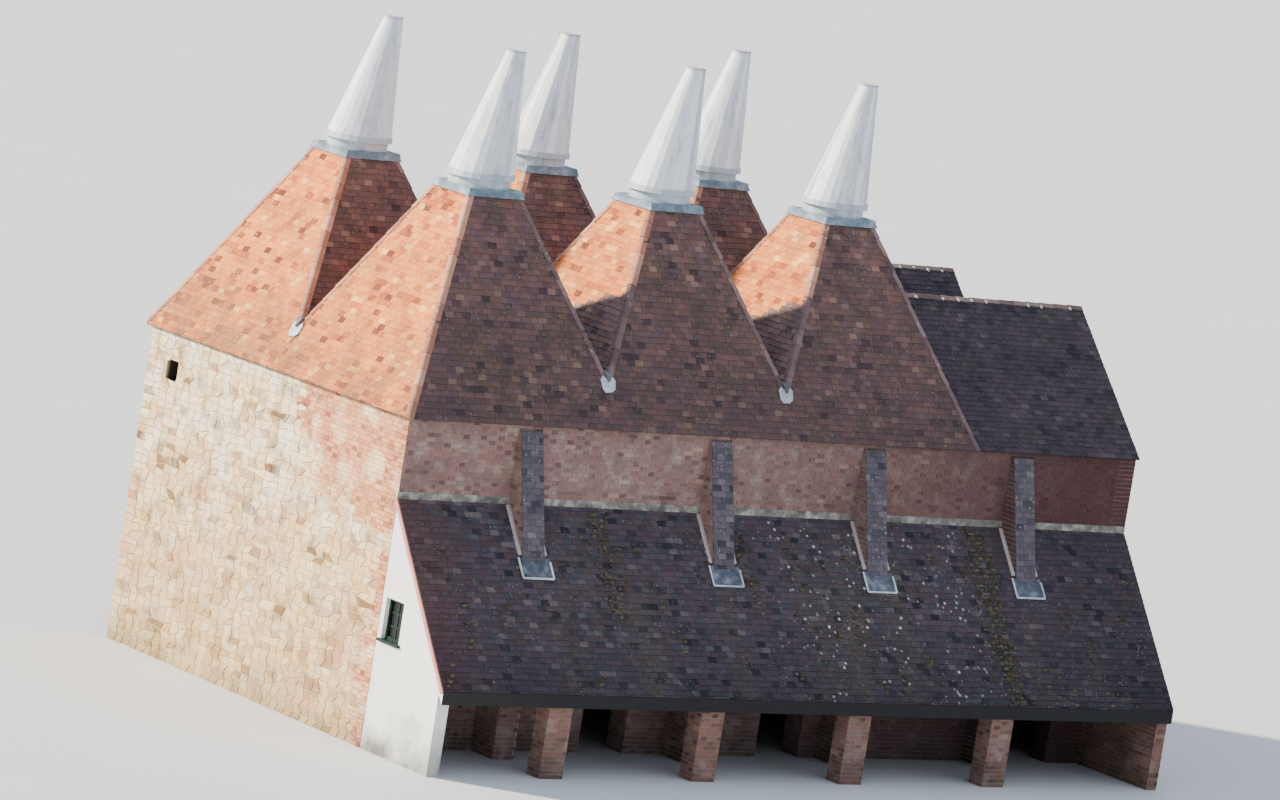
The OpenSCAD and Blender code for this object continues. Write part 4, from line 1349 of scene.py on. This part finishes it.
def moss_lumps(dice):
    """Cushions of moss in streaks down the lean-to tiles."""
    corners, out = slopes_of("lean_to_roof")[0]
    along, up = slope_axes(out)
    start = corners[0]
    flat = flattened(corners, start, along, up)
    (left, foot), (right, head) = flat.min(0), flat.max(0)
    middle, rise = (left + right) / 2, head - foot
    streaks = [(middle + x, spread, foot + rise * low, foot + rise * high, count)
               for x, spread, low, high, count in MOSS_STREAKS]
    for _ in range(SMALL_STREAKS):
        top = dice.uniform(foot + 0.3, head)
        streaks.append((dice.uniform(left, right), SMALL_STREAK_SPREAD, top - SMALL_STREAK_LENGTH, top,
                        dice.randint(*SMALL_STREAK_CUSHIONS)))
    copies = []
    for x_middle, spread, low, high, count in streaks:
        for _ in range(count):
            x, y = x_middle + dice.gauss(0, spread), dice.uniform(low, high)
            if not (left + MOSS_MARGIN < x < right - MOSS_MARGIN
                    and foot + MOSS_MARGIN < y < head - MOSS_BELOW_RIDGE):
                continue
            wide = dice.uniform(*CUSHION_RADIUS)
            size = np.array([wide * dice.uniform(1.0, 1.8), wide * dice.uniform(0.7, 1.1), wide * 0.45])
            # Cushions gather at the tails of the tiles
            y = round(y / TILE_GAUGE) * TILE_GAUGE + dice.gauss(-0.01, 0.018)
            copies.append((axes(along, up, out) * size, start + along * x + up * y + out * MOSS_LIFT,
                           dice.uniform(0, 1)))
    inside = edge_distance(flattened([spot for turn, spot, tone in copies], start, along, up), flat)
    return lay(LUMP, [copy for copy, away in zip(copies, inside) if away < -MOSS_MARGIN], rounded=True)


def dress_other_roofs():
    for node, name, finish, slot, seed in (
            ("lean_to_roof", "lean_to_tiles", MOSSY_TILES, "mossy_tile", 31),
            ("range_roofs", "range_tiles", RANGE_TILES, "kiln_tile", 32),
            ("buttresses", "buttress_tiles", BUTTRESS_TILES, "mossy_tile", 34)):
        dice = random.Random(seed)
        tiles = join([tile_slope(corners, out, dice) for corners, out in slopes_of(node)])
        make_piece(name, slot, tiles, finish, in_box=True)
    crests = crests_of("range_roofs")
    make_piece("range_ridge_tiles", "kiln_tile", crest_tiles(crests, random.Random(41)), PALE_RIDGE,
               in_box=True)
    make_piece("range_ridge_mortar", "kiln_tile", ridge_mortar(crests, random.Random(42)), PALE_MORTAR,
               in_box=True)
    make_piece("lean_to_moss", "mossy_tile", moss_lumps(random.Random(43)), MOSS, in_box=True)


def finish_cad_pieces():
    """The finish of the CAD pieces' own faces, seen between the tiles, bricks and stones."""
    for finish, nodes in (
            (SHADED_TILES, [f"kiln_roof_{number}" for number in KILNS]),
            (OAK, [f"spindle_{number}" for number in KILNS]),
            (OAK, ("cowl_bearers", "lean_to_plate", "range_valley_beam")),
            (MORTAR, ("rear_wall", "buttresses", "lean_to_piers", "range_rear_wall")),
            (FRONT_MORTAR, ("front_wall", "range_front_wall")),
            (PLAIN_BRICK, ("right_wall", "dividing_walls", "cross_walls", "range_end_wall",
                           "lean_to_right_wall")),
            (STONE_MORTAR, ("left_wall",)), (LIMEWASH, ("lean_to_left_wall",)),
            (GREEN, ("lean_to_window",)), (GLASS, ("lean_to_glass",)), (LEAD, ("valley_gutters",)),
            (CRUSTED_LEAD, ("lean_to_flashing",)), (CURB_PAINT, ("cowl_curbs",)),
            (EAVES_BOARDS, ("lean_to_roof",)), (RANGE_TILES, ("range_roofs",))):
        for node in nodes:
            set_finish(node, finish)


# Setting

CAMERA_AZIMUTH = -36.8
CAMERA_HEIGHT = 7.5
CAMERA_DISTANCE = 113.0
CAMERA_LENS = 191.0
# What the camera looks at: the middle of the picture, a little left of the middle of the building
CAMERA_AIM = Vector((-0.56, 0.42, 5.26))
CAMERA_ROLL = 9.0
SUN_STRENGTH, SUN_COLOUR, SUN_ANGLE = 11.0, (1.0, 0.92, 0.79), 3
SKY_STRENGTH, SKY_COLOUR = 1.2, (0.70, 0.81, 1.0, 1.0)
FLOOR_HALF = 400


def place_in_scene(name, data, location, turn):
    obj = bpy.data.objects.new(name, data)
    obj.rotation_mode = "QUATERNION"
    obj.location = location
    obj.rotation_quaternion = turn
    bpy.context.scene.collection.objects.link(obj)
    return obj


def set_floor():
    bm = bmesh.new()
    bmesh.ops.create_grid(bm, x_segments=1, y_segments=1, size=FLOOR_HALF)
    mesh = bpy.data.meshes.new("floor")
    bm.to_mesh(mesh)
    bm.free()
    floor = bpy.data.objects.new("floor", mesh)
    bpy.context.scene.collection.objects.link(floor)
    mesh.materials.append(FLOOR)


def set_lights():
    sun = bpy.data.lights.new("sun", "SUN")
    sun.energy = SUN_STRENGTH
    sun.angle = math.radians(SUN_ANGLE)
    sun.color = SUN_COLOUR
    place_in_scene("sun", sun, (0, 0, 0), SUN_FROM.to_track_quat("Z", "Y"))
    world = bpy.data.worlds.new("soft_sky")
    world.use_nodes = True
    background = world.node_tree.nodes["Background"]
    background.inputs["Color"].default_value = SKY_COLOUR
    background.inputs["Strength"].default_value = SKY_STRENGTH
    bpy.context.scene.world = world


def set_camera():
    turn, rise = math.radians(CAMERA_AZIMUTH), math.radians(CAMERA_HEIGHT)
    back = Vector((math.sin(turn) * math.cos(rise), -math.cos(turn) * math.cos(rise), math.sin(rise)))
    roll = Matrix.Rotation(math.radians(CAMERA_ROLL), 3, "Z").to_quaternion()
    data = bpy.data.cameras.new("camera")
    data.lens = CAMERA_LENS
    data.clip_end = 1000
    bpy.context.scene.camera = place_in_scene("camera", data, CAMERA_AIM + back * CAMERA_DISTANCE,
                                              (-back).to_track_quat("-Z", "Y") @ roll)


set_camera()
set_lights()
set_floor()
dress_kiln_roofs()
for number in KILNS:
    dress_cowl(number)
make_piece("curb_collars", "lead", curb_collars(), COLLAR_LEAD)
make_piece("valley_outlets", "lead", valley_outlets(), PALE_LEAD)
dress_walls()
dress_other_roofs()
finish_cad_pieces()
